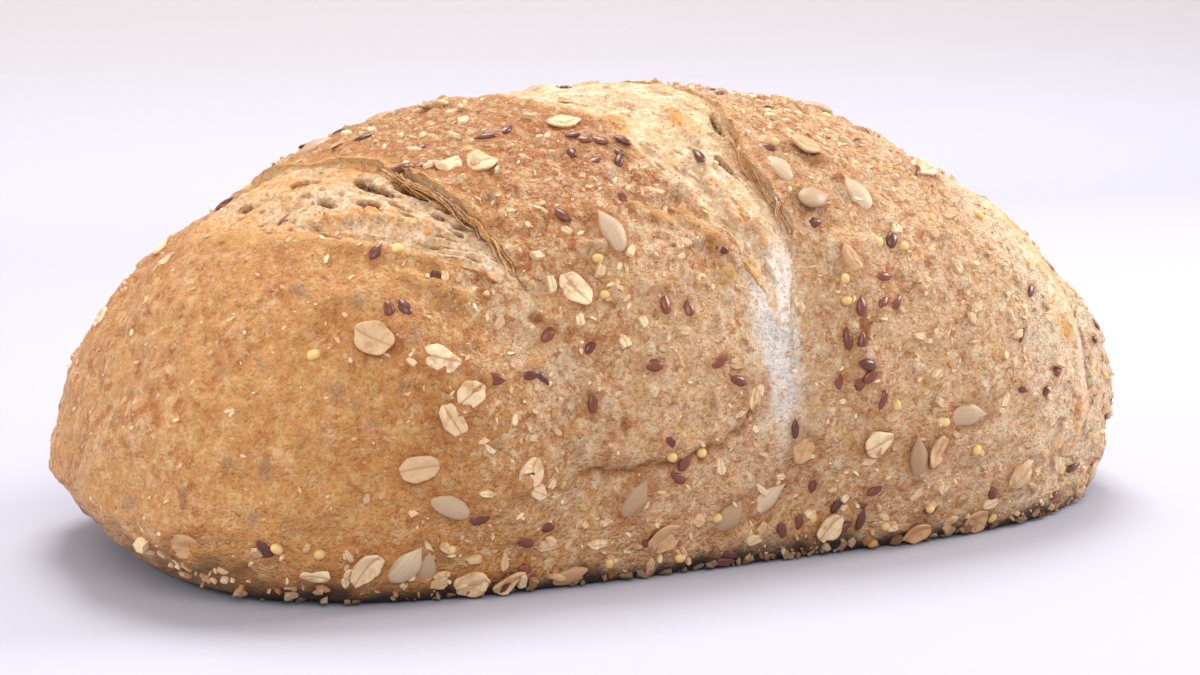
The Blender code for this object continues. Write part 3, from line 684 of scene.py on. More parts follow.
def spread(count, seed, zones, margin, lowest=1.2):
    """Spots by rule, evenly over zones, off the cuts by the margin and at least this high over the table."""
    draw, zones = np.random.default_rng(seed), np.array(zones)
    weights = zones[:, 4]
    spots = np.zeros((0, 3))
    while len(spots) < count:
        pick = draw.choice(len(zones), size=count, p=weights / weights.sum())
        low_x, high_x, low_a, high_a, _ = zones[pick].T
        x = draw.uniform(low_x, high_x)
        degrees = draw.uniform(low_a, high_a)
        angle = np.radians(degrees)
        free = plain_form(x, angle)[:, 2] > lowest
        for lip, ear, opened in cut_lines(angle):
            free &= (opened < CUT_OPEN) | (x < lip - margin) | (x > ear + margin)
        made = np.stack([x, degrees, draw.uniform(0.0, 360.0, count)], axis=-1)[free]
        spots = np.concatenate([spots, made])
    return spots[:count]


def flax_spots():
    """All spots of flax seeds, those seen and those by rule."""
    return [*FLAX_SPOTS, *spread(FLAX_COUNT, 31, TOPPED_ZONES, 1.0)]


# Forms of the toppings: local points of every copy, as (copies, vertices, 3)


def rings_and_poles(middle, ends):
    """Joins the points of the rings, as (copies, rows, ring, 3), and the two end points of each copy."""
    return np.concatenate([middle.reshape(len(middle), -1, 3), ends], axis=1)


def flat_poles(above, below):
    """The two middle points of thin copies, at these heights."""
    poles = np.zeros((len(above), 2, 3))
    poles[:, 0, 2], poles[:, 1, 2] = above, below
    return poles


def teardrop(size, net, copies, seed, point, groove):
    """Kernels: ellipses from end to end, as wide as (1 - |t|^2.4)^0.5, and drawn in towards the far end.

    Grooves along it go in by the square of the cosine of 7 turns. Every copy has its own size and bend."""
    draw, (rows, ring) = np.random.default_rng(seed), net
    length, width, thickness = (value * draw.uniform(0.86, 1.12, copies)[:, None, None] for value in size)
    bend = draw.uniform(-0.10, 0.10, copies)[:, None, None]
    sharp = point * draw.uniform(0.7, 1.2, copies)[:, None, None]
    t = -np.cos(np.pi * np.arange(1, rows + 1) / (rows + 1))[None, :, None]
    turn = (2.0 * np.pi * np.arange(ring) / ring)[None, None, :]
    pointed = np.maximum(0.0, t)
    full = (1.0 - np.abs(t) ** 2.4) ** (0.5 + 0.7 * point * pointed) * (1.0 - sharp * pointed**1.3)
    full = full * (1.0 - groove * np.cos(7.0 * turn) ** 2)
    x = t * length / 2.0 + 0.0 * full
    y = np.cos(turn) * full * width / 2.0 + bend * width * t * t
    z = np.sin(turn) * full * thickness / 2.0
    poles = np.stack([length[:, 0] * np.array([[-0.5, 0.5]]),
                      (bend * width)[:, 0] * np.ones((1, 2)), np.zeros((copies, 2))], axis=-1)
    return rings_and_poles(np.stack([x, y, z], axis=-1), poles)


def flake_form(size, net, copies, seed, crease):
    """Flakes: thin oval dishes. The profile runs from the middle of the upper face over the rim down.

    The rim wanders by waves and may be cut off straight on two sides, the dish is cupped by the squares of
    the ways along and across, and a crease runs along the upper face."""
    draw, (rows, ring) = np.random.default_rng(seed), net
    length, width, thickness = (value * draw.uniform(0.80, 1.15, copies)[:, None, None] for value in size)
    each = (copies, 1, 1)
    cup, tip = draw.uniform(-0.14, 0.20, each) * length, draw.uniform(-0.09, 0.12, each) * length
    s = (np.arange(1, rows + 1) / (rows + 1))[None, :, None]
    turn = (2.0 * np.pi * np.arange(ring) / ring)[None, None, :]
    radius = np.sin(np.pi * s) ** 0.72
    rim = 1.0 + sum(draw.uniform(0.01, 0.05, each) * np.cos(waves * turn + draw.uniform(0.0, 6.3, each))
                    for waves in (2, 3, 5, 8))
    for _ in range(2):
        broken, facing = draw.uniform(0.52, 1.6, each), draw.uniform(0.0, 6.3, each)
        rim = np.minimum(rim, broken / np.maximum(np.cos(turn - facing), 0.05))
    x = np.cos(turn) * radius * rim * length / 2.0
    y = np.sin(turn) * radius * rim * width / 2.0
    along, across = x / length * 2.0, y / width * 2.0
    dish = cup * across**2 + tip * along**2
    groove = crease * hill(across, 0.0, 0.11) * (1.0 - radius**4)
    face = np.cos(np.pi * s)
    z = dish + thickness / 2.0 * np.sign(face) * np.abs(face) ** 0.5 - thickness * groove * np.sign(face)
    phase = draw.uniform(0.0, 6.3, each)
    wavy = 0.16 * thickness * (np.cos(3.0 * turn + 5.0 * radius) + 1.4 * radius * np.cos(2.0 * turn + phase))
    middle = np.stack([x, y, z + wavy], axis=-1)
    half = thickness[:, 0, 0] * (0.5 - crease)
    return rings_and_poles(middle[:, :, ::-1], flat_poles(half, -half))


def splinter_form(size, ring, copies, seed):
    """Chips and specks: a thin slab between two middle points, with a few uneven corners and a slant."""
    draw = np.random.default_rng(seed)
    grow = 0.40 + 0.85 * draw.uniform(0.0, 1.0, (copies, 1)) ** 2.5
    length, width, thickness = size
    narrow = draw.uniform(0.45, 1.1, (copies, 1))
    turn = 2.0 * np.pi * (np.arange(ring)[None] + draw.uniform(-0.35, 0.35, (copies, ring))) / ring
    rim = draw.uniform(0.65, 1.15, (copies, ring)) * grow
    x, y = np.cos(turn) * rim * length / 2.0, np.sin(turn) * rim * width * narrow / 2.0
    slant = draw.uniform(-0.25, 0.25, (copies, 1)) * x + draw.uniform(-0.3, 0.3, (copies, 1)) * y
    half = 0.5 * thickness * draw.uniform(0.5, 1.3, (copies, 1))
    top = np.stack([0.82 * x, 0.82 * y, slant + half], axis=-1)
    middle = np.stack([top, np.stack([x, y, slant - half], axis=-1)], axis=1)
    return rings_and_poles(middle[:, :, ::-1], flat_poles(1.1 * half[:, 0], -half[:, 0]))


def strand_tubes(number, low, high, count, seed, thick):
    """Torn strands between the ear of a cut and its crumb: thin tubes that sag on their way and taper.

    Each runs from under the ear down and away from it, its station, angle and rise going over by ease()."""
    draw, (rows, ring) = np.random.default_rng(seed), STRAND_NET
    t = np.linspace(0.0, 1.0, rows)[None]
    angle = np.radians(draw.uniform(low, high, (count, 1)) - draw.uniform(3.0, 11.0, (count, 1)) * t)
    _, ear, opened = cut_lines(angle)[number]
    reach = draw.uniform(-0.3, 2.6, (count, 1))
    x = ear - 0.4 - EAR_LEAN * opened * (1.0 - t) - reach * t
    start, end = draw.uniform(-1.6, 1.2, (count, 1)), draw.uniform(-3.6, -2.2, (count, 1))
    rise = (start + (end - start) * t - draw.uniform(0.0, 0.7, (count, 1)) * np.sin(np.pi * t)) * opened
    normal = plain_normal(x, angle)
    path = plain_form(x, angle) + rise[..., None] * normal
    way = np.gradient(path, axis=1)
    way /= np.linalg.norm(way, axis=-1, keepdims=True)
    side = np.cross(way, normal)
    side /= np.linalg.norm(side, axis=-1, keepdims=True)
    out = np.cross(side, way)
    turn = 2.0 * np.pi * np.arange(ring) / ring
    half = thick / 2.0 * draw.uniform(0.35, 1.0, (count, 1)) * (1.0 - 0.5 * np.sin(np.pi * t))
    tube = path[:, :, None] + half[..., None, None] * (
        np.cos(turn)[:, None] * side[:, :, None] + np.sin(turn)[:, None] * out[:, :, None])
    return rings_and_poles(tube, path[:, [0, -1]])


# Finishes


class Finish:
    """A procedural material: nodes are added by short calls, and join up into the principled shader.

    A value is a number, a colour, a socket, or the name of an attribute of the mesh."""

    def __init__(self, name, roughness, specular, coat=0.0):
        self.material = bpy.data.materials.new(name)
        self.material.use_nodes = True
        self.tree = self.material.node_tree
        self.shader = self.tree.nodes["Principled BSDF"]
        self.shader.inputs["Roughness"].default_value = roughness
        self.shader.inputs["Specular IOR Level"].default_value = specular
        self.shader.inputs["Coat Weight"].default_value = coat
        self.place = self.node("ShaderNodeTexCoord", {}).outputs["Object"]
        self.tone = None

    def node(self, kind, inputs, **settings):
        """Adds a node with these settings, and with these values at its inputs."""
        made = self.tree.nodes.new(kind)
        for key, value in settings.items():
            setattr(made, key, value)
        for socket, value in inputs.items():
            self.put(made.inputs[socket], value)
        return made

    def put(self, socket, value):
        """Links a socket or an attribute, or sets a plain value."""
        if isinstance(value, str):
            value = self.node("ShaderNodeAttribute", {}, attribute_name=value).outputs["Fac"]
        if isinstance(value, bpy.types.NodeSocket):
            self.tree.links.new(value, socket)
        elif hasattr(value, "__len__") and len(socket.default_value) == 4:
            socket.default_value = (*value, 1.0)
        else:
            socket.default_value = value

    def noise(self, size, detail=2.0, rough=0.55):
        """Cloudy noise, 0 to 1, whose blobs are about size millimetres across."""
        inputs = {"Vector": self.place, "Scale": 1.0 / (size * MM), "Detail": detail, "Roughness": rough}
        return self.node("ShaderNodeTexNoise", inputs).outputs["Fac"]

    def cells(self, size, output="Distance"):
        """Cells about size millimetres across: the distance to their middles, or their random colours."""
        wobble = self.node("ShaderNodeTexNoise", {"Scale": 1.4 / (size * MM), "Vector": self.place})
        inputs = {0: wobble.outputs["Color"], 1: (1.1 * size * MM,) * 3, 2: self.place}
        bent = self.node("ShaderNodeVectorMath", inputs, operation="MULTIPLY_ADD").outputs["Vector"]
        cells = self.node("ShaderNodeTexVoronoi", {"Vector": bent, "Scale": 1.0 / (size * MM)})
        return cells.outputs[output]

    def math(self, kind, first, second=0.0):
        """One Math node."""
        return self.node("ShaderNodeMath", {0: first, 1: second}, operation=kind).outputs[0]

    def add(self, *values):
        """The sum of several values."""
        total = values[0]
        for value in values[1:]:
            total = self.math("ADD", total, value)
        return total

    def times(self, *values):
        """The product of several values."""
        product = values[0]
        for value in values[1:]:
            product = self.math("MULTIPLY", product, value)
        return product

    def part(self, noise, share):
        """What a noise adds round its middle, 0.5."""
        return self.times(self.math("SUBTRACT", noise, 0.5), share)

    def steps(self, value, low, high, to=(0.0, 1.0)):
        """Goes smoothly from to[0] to to[1] as the value goes from low to high."""
        inputs = {"Value": value, "From Min": low, "From Max": high, "To Min": to[0], "To Max": to[1]}
        return self.node("ShaderNodeMapRange", inputs, interpolation_type="SMOOTHSTEP").outputs["Result"]

    def mix(self, share, first, second):
        """Mixes two colours."""
        inputs = {"Factor": share, 6: first, 7: second}
        return self.node("ShaderNodeMix", inputs, data_type="RGBA").outputs[2]

    def over(self, hue, *shares):
        """Mixes a colour over the tone, by the product of the shares."""
        self.tone = self.mix(self.times(*shares), self.tone, hue)

    def finish(self, height=None, depth=0.0, roughness=None):
        """Joins the tone, and a height whose full range is depth millimetres, to the shader."""
        self.put(self.shader.inputs["Base Color"], self.tone)
        if roughness is not None:
            self.put(self.shader.inputs["Roughness"], roughness)
        if height is not None:
            bump = self.node("ShaderNodeBump", {"Distance": depth * MM, "Height": height})
            self.put(self.shader.inputs["Normal"], bump.outputs["Normal"])
        return self.material


def crust_finish(hues):
    """Baked crust: golden to tan by its attributes, mottled with toast, finely blistered and specked, with
    painted shade round the seeds, in the pits and the crease, and near and under the base.
    """
    f = Finish("baked_crust", 0.5, 0.36)
    patches, mottle, fine = f.noise(12.0, 3.0), f.noise(3.0, 4.0, 0.62), f.noise(0.55, 3.0, 0.65)
    grit, crumbs, blots = f.cells(0.6, "Color"), f.cells(1.3, "Color"), f.noise(1.9, 3.0, 0.6)
    f.tone = f.mix("gold", hues.tan, hues.gold)
    f.over(hues.honey, f.steps(f.noise(4.5, 3.0, 0.6), 0.50, 0.72))
    bake = f.add("bake", f.part(patches, 2.0), f.part(mottle, 3.8), f.part(fine, 1.2))
    f.over(hues.toasted, f.steps(bake, 0.20, 1.25))
    pale = f.add("pale", f.part(mottle, -2.2), f.part(f.noise(6.0, 2.0), 1.6))
    f.over(hues.pale, f.steps(pale, 0.10, 1.0))
    f.over(f.mix("gold", hues.pale, hues.honey), "dome", f.steps("mark", 0.70, 0.80), 0.72)
    f.over(hues.ridge, "dome", f.steps("mark", 0.62, 0.56), 0.55)
    f.over(hues.bran, f.steps(blots, 0.54, 0.66), "rough", 0.45)
    f.over(hues.blister, f.steps(blots, 0.46, 0.34), "rough", 0.50)
    f.over(hues.bran, f.steps(grit, 0.70, 0.80), "rough", 0.35)
    f.over(hues.blister, f.steps(grit, 0.32, 0.22), 0.32)
    f.over(hues.bran, f.steps(crumbs, 0.78, 0.84), "rough", 0.50)
    f.over(hues.toasted, f.steps(crumbs, 0.24, 0.18), "rough", 0.50)
    f.over(hues.ridge, f.steps(f.add("edge", f.part(mottle, 1.6)), 0.35, 1.1))
    f.over(hues.flour, f.steps(f.add("dust", f.part(fine, 0.9)), 0.15, 0.80, to=(0.0, 0.95)))
    f.over(hues.sunken, f.steps(f.add("sunken", f.part(fine, 0.5)), 0.15, 0.95), 0.55)
    # Painted shade round the seeds, in the pits and along the crease
    f.over(hues.toasted, "shade", 0.75)
    f.over(f.mix(f.steps(mottle, 0.4, 0.6), hues.pale, hues.ridge), "inside")
    # Near black near the table and where the crust faces down: the browned base and painted shade under the
    # loaf
    f.over(hues.base, "low")
    domes = f.steps(f.cells(1.0), 0.05, 0.62, to=(1.0, 0.0))
    height = f.add(f.times(domes, 0.45), f.times(fine, 0.8), f.times(f.noise(1.5, 3.0, 0.6), 1.3))
    height = f.times(height, f.steps("rough", 0.2, 1.0, to=(0.70, 1.0)))
    return f.finish(height, 1.15, f.steps(fine, 0.35, 0.65, to=(0.56, 0.32)))


def crumb_finish(hues):
    """Torn crumb: cream, darker and warmer down in the pores and pits as painted shade, toasted where it
    stands out, finely porous.
    """
    f = Finish("torn_crumb", 0.65, 0.28)
    mottle, fine = f.noise(3.4, 4.0, 0.65), f.noise(0.6, 3.0, 0.65)
    f.tone = f.mix(f.steps(mottle, 0.42, 0.66), hues.crumb, hues.pale)
    toast = f.add("toast", f.part(mottle, 2.0), f.part(fine, 1.0))
    f.over(hues.ridge, f.steps(toast, 0.20, 1.10))
    f.over(hues.toasted, f.steps(toast, 1.00, 1.8))
    f.over(hues.flour, f.steps(f.add("dust", f.part(fine, 0.9)), 0.15, 0.85, to=(0.0, 0.9)))
    # Painted shade: darker by hollow, and near black in the deepest holes
    f.over(hues.hollow, "hollow")
    f.over(hues.base, f.steps("hollow", 0.70, 1.0, to=(0.0, 0.6)))
    grit, pits = f.cells(0.7, "Color"), f.steps(f.cells(1.1), 0.10, 0.34, to=(1.0, 0.0))
    f.over(hues.flour, f.steps(grit, 0.66, 0.76), 0.28)
    f.over(hues.gold, f.steps(grit, 0.34, 0.24), 0.4)
    # Painted shade in the small pits of the bump
    f.over(hues.hollow, pits, 0.25)
    return f.finish(f.add(fine, f.times(f.noise(1.6, 2.0), 0.8), f.times(pits, -0.5)), 0.50)


def seed_finish(name, light, dark, toasted, roughness, streak=0.0, coat=0.0, crease=0.0):
    """A topping: light to dark by its tint, darker near the table by toast and painted shade, with a dark rim,
    a dark crease that is partly painted shade, and streaks.
    """
    f = Finish(name, roughness, 0.4, coat)
    fine, aside = f.noise(0.6, 2.0, 0.6), f.math("ABSOLUTE", "across")
    f.tone = f.mix("tint", light, dark)
    if streak:
        f.over(dark, f.steps(f.math("SINE", f.times("across", 17.0)), 0.3, 1.0), streak)
    if crease:
        # The dark crease: partly the flake's own crease line, partly painted shade in its groove
        f.over(dark, f.steps(aside, 0.0, 0.14, to=(1.0, 0.0)), crease)
        f.over(dark, f.steps(f.noise(2.2, 3.0), 0.48, 0.70), 0.8)
    f.over(dark, f.steps(aside, 0.72, 1.0), 0.35)
    f.over(dark, f.steps(fine, 0.5, 0.8), 0.35)
    # Darker near the table: toasting there, and painted shade where the loaf meets the table
    f.over(toasted, "toast", 0.75)
    return f.finish(fine, 0.12)


# The crust


def crust_grid():
    """Stations and angles of the crust's net. Stretches crowd towards the tips and the edges of the cuts."""
    upper = np.linspace(UPPER_FROM, UPPER_TO, UPPER_ROWS, endpoint=False)
    under = np.linspace(UPPER_TO, UPPER_FROM + 360.0, BASE_ROWS, endpoint=False)
    angle = np.radians(np.concatenate([upper, under]))
    tip = np.full_like(angle, LENGTH / 2.0)
    edges = [-tip, *(edge for line in cut_lines(angle) for edge in line[:2]), tip]
    stations = []
    for number, count in enumerate(STRETCH_COLUMNS):
        first = int(number == 0)
        t = (np.arange(count) + first) / (count + first)
        share = 0.5 * t + 0.5 * ease(t)
        if number == 0:
            share = 1.0 - np.cos(t * np.pi / 2.0)
        elif number == len(STRETCH_COLUMNS) - 1:
            share = np.sin(t * np.pi / 2.0)
        stations.append(edges[number] + (edges[number + 1] - edges[number]) * share[:, None])
    x = np.concatenate(stations)
    return x, angle + 0.0 * x


def spot_frames(spots):
    """For each spot its place on the crust, the ways along it and to its side, and its normal."""
    x, degrees, turn = (np.array(column, dtype=float) for column in zip(*spots))
    points, normal = crust_at(x, np.radians(degrees))
    along = np.array([1.0, 0.0, 0.0]) - normal * normal[:, :1]
    along /= np.linalg.norm(along, axis=-1, keepdims=True)
    around = np.cross(normal, along)
    turn = np.radians(turn)[:, None]
    way = np.cos(turn) * along + np.sin(turn) * around
    return points, way, np.cross(normal, way), normal


def away_from(spot, points, long, wide):
    """Squared distance from a spot: the sum of the squares along, beside and through it, in half sizes."""
    centre, way, side, normal = spot
    apart = points - centre
    return (apart @ way / long) ** 2 + (apart @ side / wide) ** 2 + (apart @ normal / MARK_DEPTH) ** 2


def seen_marks(points):
    """Rise of the pits and blisters of MARKS, each h (1 - ease(d)) at a squared, ragged distance d."""
    rise = np.zeros(points.shape[:-1])
    ragged = 0.2 * noise(points, 1.8, 37)
    for (*_, long, wide, high), spot in zip(MARKS, zip(*spot_frames([mark[:3] for mark in MARKS]))):
        rise += high * (1.0 - ease(0.7 * away_from(spot, points, long, wide) + ragged))
    return rise


def seed_shapes(points, spots, size):
    """Soft shapes over seeds buried under the crust, 0 to 1: exp(-a^2) at a squared distance a."""
    shapes = np.zeros(points.shape[:-1])
    grow = np.random.default_rng(34).uniform(0.65, 1.15, len(spots))
    for share, spot in zip(grow, zip(*spot_frames(spots))):
        away = away_from(spot, points, size[0] / 2.0, size[1] / 2.0) / share**2
        shapes = np.maximum(shapes, share * np.exp(-(away**2)))
    return shapes


def socket_walls(points, spots, size):
    """Low walls of dough, 0 to 1, round seeds of this size: a exp(1 - a) at a squared distance a."""
    walls = np.zeros(points.shape[:-1])
    for spot in zip(*spot_frames(spots)):
        away = away_from(spot, points, size[0] / 2.0, size[1] / 2.0)
        walls = np.maximum(walls, away * np.exp(1.0 - away))
    return walls


def crease(x, degrees):
    """Shares of the crease under the front's bulge and the roll over it: hills of the angle to its line."""
    fold = degrees - eased_steps(x, *CREASE_LINE) - 0.5 * np.sin(0.5 * x) - 0.35 * np.sin(1.3 * x)
    fade = ease((x - CREASE_LINE[0][0]) / 8.0) * ease((CREASE_LINE[0][-1] - x) / 5.0)
    return fade * hill(fold, 0.0, CREASE_REACH), fade * hill(fold, 3.6, 2.6)


def patches_at(rows, x, degrees):
    """The sum of patches, each a hill of the station times one of the angle."""
    return sum(share * hill(x, station, long) * hill(degrees, level, high)
               for share, station, long, level, high in rows)


def crust_tones(x, angle, points, normal, lines):
    """Shares for the crust's colours, from its places and cuts, each a sum of eased steps and hills.

    gold, bake, pale, dust, low at the base (the browned base with painted shade near the table and under the
    loaf), inside a cut, edge of a cut, and rough."""
    degrees, high = np.degrees(angle), points[..., 2]
    # The last term, less golden at the very left tip: partly its own tone, partly painted light on the tip lit
    # from behind
    gold = 1.0 - ease((x + 70.0) / 60.0) - 0.15 * ease((-98.0 - x) / 24.0)
    bake = 0.11 + 0.33 * ease(np.sin(angle)) + 0.12 * noise(points, 24.0, 51)
    bake -= 0.25 * ease((x - 20.0) / 80.0)
    bake += patches_at(BROWNED, x, degrees)
    # Browner in a band just above the table, left of the middle: partly browning, partly painted shade where
    # the crust curves under
    bake += 0.28 * hill(high, 4.0, 7.0) * ease((20.0 - x) / 60.0)
    # The 0.12 at the very left tip: partly a paler tone, partly painted light on the tip lit from behind
    pale = 0.95 * ease((x - 30.0) / 95.0) + 0.12 * ease((-100.0 - x) / 26.0)
    pale += patches_at(PALED, x, degrees)
    pale += 0.60 * hill(x + 0.28 * (degrees - 15.0), -45.0, 8.5) * hill(degrees, 13.0, 24.0)
    pale += 0.7 * hill(x, lines[2][0], 9.0) * lines[2][2]
    dust = hill(x + 0.1 * (degrees - 14.0), 8.5, 4.8) * hill(degrees, 14.0, 18.0)
    inside, ridge = np.zeros_like(x), np.zeros_like(x)
    for (lip, ear, opened), golden in zip(lines, EDGE_TONES):
        before, after = np.maximum(lip - x, 0.0), np.maximum(x - ear, 0.0)
        edge = opened * (np.exp(-before / 2.2) * (x <= lip) + np.exp(-after / 1.0) * (x >= ear))
        beside = opened * (np.exp(-before / 9.0) * (x <= lip) + np.exp(-after / 12.0) * (x >= ear))
        bake += 0.15 * edge + 0.16 * beside
        ridge = np.maximum(ridge, golden * (edge + 0.5 * beside))
        inside = np.maximum(inside, ease(np.minimum(x - lip, ear - x) / 0.8) * ease(4.0 * opened))
    # low: near black close to the table, the browned base with painted contact shade, and painted shade where
    # the crust faces down under the loaf
    patchy = noise(points, 4.0, 52)
    low = 1.0 - ease((high + 2.0 * patchy - 1.2) / 5.6)
    low = np.maximum(low, 0.7 * ease((-normal[..., 2] + 0.1 * patchy - 0.45) / 0.45))
    return {"gold": gold, "bake": bake, "pale": pale, "dust": dust, "low": np.clip(low, 0.0, 1.0),
            "inside": inside, "edge": np.clip(ridge, 0.0, 1.0), "rough": roughness(x)}


def crust_form(sizes):
    """The crust: the plain form raised by relief, unevenness, seeds, marks and crease. Also its tones."""
    x, angle = crust_grid()
    points, normal, lines = plain_form(x, angle), plain_normal(x, angle), cut_lines(angle)
    rise, shift = relief(x, angle, points, lines)
    rise = rise + unevenness(x, points)
    rough_form = points + rise[..., None] * normal
    tones = crust_tones(x, angle, points, normal, lines)
    domes, tones["mark"] = buried(points)
    tones["dome"] = np.maximum(*domes)
    kernels, flakes = large_spots()
    seeds = ((kernels, sizes.kernel), (flakes, sizes.flake), (flax_spots(), sizes.flax))
    walls = np.max([socket_walls(rough_form, spots, in_mm(size)) for spots, size in seeds], axis=0)
    marks, (fold, roll) = seen_marks(rough_form), crease(x, np.degrees(angle))
    sunk = [*SUNKEN_SPOTS, *spread(SUNKEN_COUNT, 32, EMBEDDED_ZONES, 2.0)]
    tones["sunken"] = seed_shapes(rough_form, sunk, in_mm(sizes.flax))
    bumps = WALL_RISE * walls + SUNKEN_RISE * tones["sunken"] + marks
    rise = rise + ease(points[..., 2] / GRAIN_FADE) * bumps + CREASE_ROLL * roll - CREASE_DEPTH * fold
    # shade: painted shade round the seeds' sockets, in the pits and along the crease
    tones["shade"] = np.clip(0.75 * walls**2 + ease(-1.4 * marks) + fold, 0.0, 1.0)
    tones["edge"] = np.clip(tones["edge"] + ease(1.2 * marks), 0.0, 1.0)
    made = points + rise[..., None] * normal
    made[..., 0] += shift
    made[..., 2] = np.maximum(made[..., 2], 0.0)
    return made, tones


# The crumb


def crumb_holes(number, flat, x, lip, ear, degrees):
    """Depth of the larger holes of a cut: d ease((1.35 - a) / 0.6) at a squared, ragged distance a."""
    deep = np.zeros_like(x)
    ragged = 0.5 * noise(flat, 1.6, 84)
    for cut, middle, level, long, wide, depth in CRUMB_HOLES:
        if cut == number:
            aside = (x - lip - middle * (ear - lip)) / wide
            away = aside**2 + ((degrees - level) / DEGREES_PER_MM / long) ** 2
            deep = np.maximum(deep, depth * ease((1.35 - away - ragged) / 0.6))
    return deep


def crumb_lumps(number, flat, x, lip, degrees):
    """Rise and toast of the lumps of a cut: ease(1.4 - a) at a squared, ragged, leaning distance a."""
    raised, baked = np.zeros_like(x), np.zeros_like(x)
    ragged = 0.5 * noise(flat, 2.4, 86) + 0.35 * noise(flat, 1.1, 85)
    for cut, station, level, long, wide, high, toasted in CRUMB_LUMPS:
        if cut == number:
            leant = x - station - 0.25 * (lip - lip[np.abs(degrees - level).argmin()])
            away = (leant / wide) ** 2 + ((degrees - level) / DEGREES_PER_MM / long) ** 2
            lump = ease(1.4 - away - ragged)
            raised, baked = raised + high * lump, np.maximum(baked, 0.95 * toasted * lump)
    return raised, baked


def crumb_surface(number):
    """The crumb of one cut as a flat closed tube along it: points, and the shares hollow (painted shade in its
    pores, holes and groove, with darker patches), toast and dust.

    Its upper side runs from lip to ear at crumb_level, with pores where the distance to a jittered centre is
    small, holes, lumps and noise stretched along the cut; its underside lies CRUMB_SINK deeper."""
    crumb = CRUMBS[number]
    degrees = np.linspace(crumb["from"], crumb["to"], crumb["along"])[:, None]
    under = np.linspace(1.0, 0.0, CRUMB_UNDER + 2)[1:-1]
    share = np.concatenate([np.linspace(0.0, 1.0, crumb["across"]), under])
    upper = np.arange(len(share)) < crumb["across"]
    angle = np.radians(degrees) + 0.0 * share
    lip, ear, opened = (part[:, None] for part in cut_lines(angle[:, 0])[number])
    x = lip + (ear - lip) * share
    flat, normal = plain_form(x, angle), plain_normal(x, angle)
    arc = angle * WIDTH / 2.0
    grain = np.stack([x - lip + 0.5 * noise(flat, 5.0, 60), arc * crumb["stretch"], 0.0 * x + 60.0 * number],
                     axis=-1)
    wide_pore, mark = pores(grain, crumb["pore"], 61)
    fine_pore, fine_mark = pores(grain, crumb["pore"] * 0.42, 71)
    grow = mark / crumb["share"]
    hole = ease((0.18 + 0.30 * (1.0 - grow) - wide_pore) / 0.16) * (grow < 1.0)
    small = ease((0.24 + 0.22 * fine_mark - fine_pore) / 0.20) * (fine_mark > 1.0 - 1.3 * crumb["share"])
    deep = np.maximum(crumb["deep"] * (hole + 0.45 * small), crumb_holes(number, flat, x, lip, ear, degrees))
    raised, baked = crumb_lumps(number, flat, x, lip, degrees)
    threads = np.stack([x - lip + 0.8 * noise(flat, 4.0, 87), arc * 0.16, 0.0 * x], axis=-1)
    swell = 0.60 * noise(grain, 6.0, 81) + 0.34 * noise(grain, 2.4, 82) + 0.22 * noise(grain, 1.0, 83)
    swell += 0.22 * noise(threads, 0.9, 88)
    inner = ease(share / CRUMB_EDGE) * ease((1.0 - share) / CRUMB_EDGE)
    rise = LUMP_RISE * lumps(flat) - waists(x, cut_lines(angle))
    rise += opened * crumb_level(number, share, degrees)
    rise += ease(3.0 * opened) * inner * (crumb["torn"] * swell + raised - deep) * upper
    rise -= CRUMB_TUCK * (1.0 - inner) + CRUMB_SINK * ~upper + CRUMB_CLOSE * (1.0 - ease(opened / 0.12))
    points = flat + rise[..., None] * normal
    points[..., 0] += opened * eased_steps(share, CRUMB_AT, CRUMB_SHIFT)
    shaded = crumb["shaded"] * ease(0.5 + 0.9 * noise(grain, 3.0, 80) + 0.7 * noise(flat, 1.3, 79))
    # Painted shade in the groove torn under the ear
    torn = 0.36 * groove_at(number, degrees) * ease((share - 0.78) / 0.16)
    rims = 0.70 * hill(share, 0.0, 0.10) + 0.8 * np.exp((share - 1.0) / 0.10)
    patches = crumb["baked"] + 1.6 * shaded + 0.55 * ease(1.8 * noise(flat, 9.0, 89) - 0.1)
    toast = np.clip(baked + rims + patches + 0.4 * ease(2.0 * swell - 0.6), 0.0, 1.5)
    dust = VALLEY_DUST[number] * hill(degrees, 14.0, 20.0) * ease((share - 0.25) / 0.4)
    # Painted shade by the depth of the holes and in the groove, with the darker shaded patches
    hollow = np.clip(0.60 * deep + torn + 0.6 * shaded, 0.0, 1.0)
    return points, {"hollow": hollow, "toast": toast * (1.0 - dust), "dust": dust}


# The operators, one for each piece or group of like pieces


class LOAF_OT_crust(bpy.types.Operator):
    """Make the crust, one closed body with its cuts, which stands for the solid"""

    bl_idname = "loaf.crust"
    bl_label = "Crust"

    def execute(self, context):
        points, tones = crust_form(context.scene.loaf_sizes)
        tips = plain_form(np.array([-LENGTH, LENGTH]) / 2.0, np.zeros(2))
        piece = put_net("loaf_crust", points, tips, crust_finish(context.scene.loaf_colours), tones)
        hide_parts("loaf")
        return {"FINISHED"}


class LOAF_OT_crumb(bpy.types.Operator):
    """Make the torn crumb that shows in the three cuts, a closed strip in each"""

    bl_idname = "loaf.crumb"
    bl_label = "Crumb"

    def execute(self, context):
        finish = crumb_finish(context.scene.loaf_colours)
        for number in range(len(CUTS)):
            points, shares = crumb_surface(number)
            shares = {label: values[:, ::-1] for label, values in shares.items()}
            put_net(f"crumb_{number + 1}", points[:, ::-1], points[[0, -1]].mean(axis=1), finish, shares)
        return {"FINISHED"}


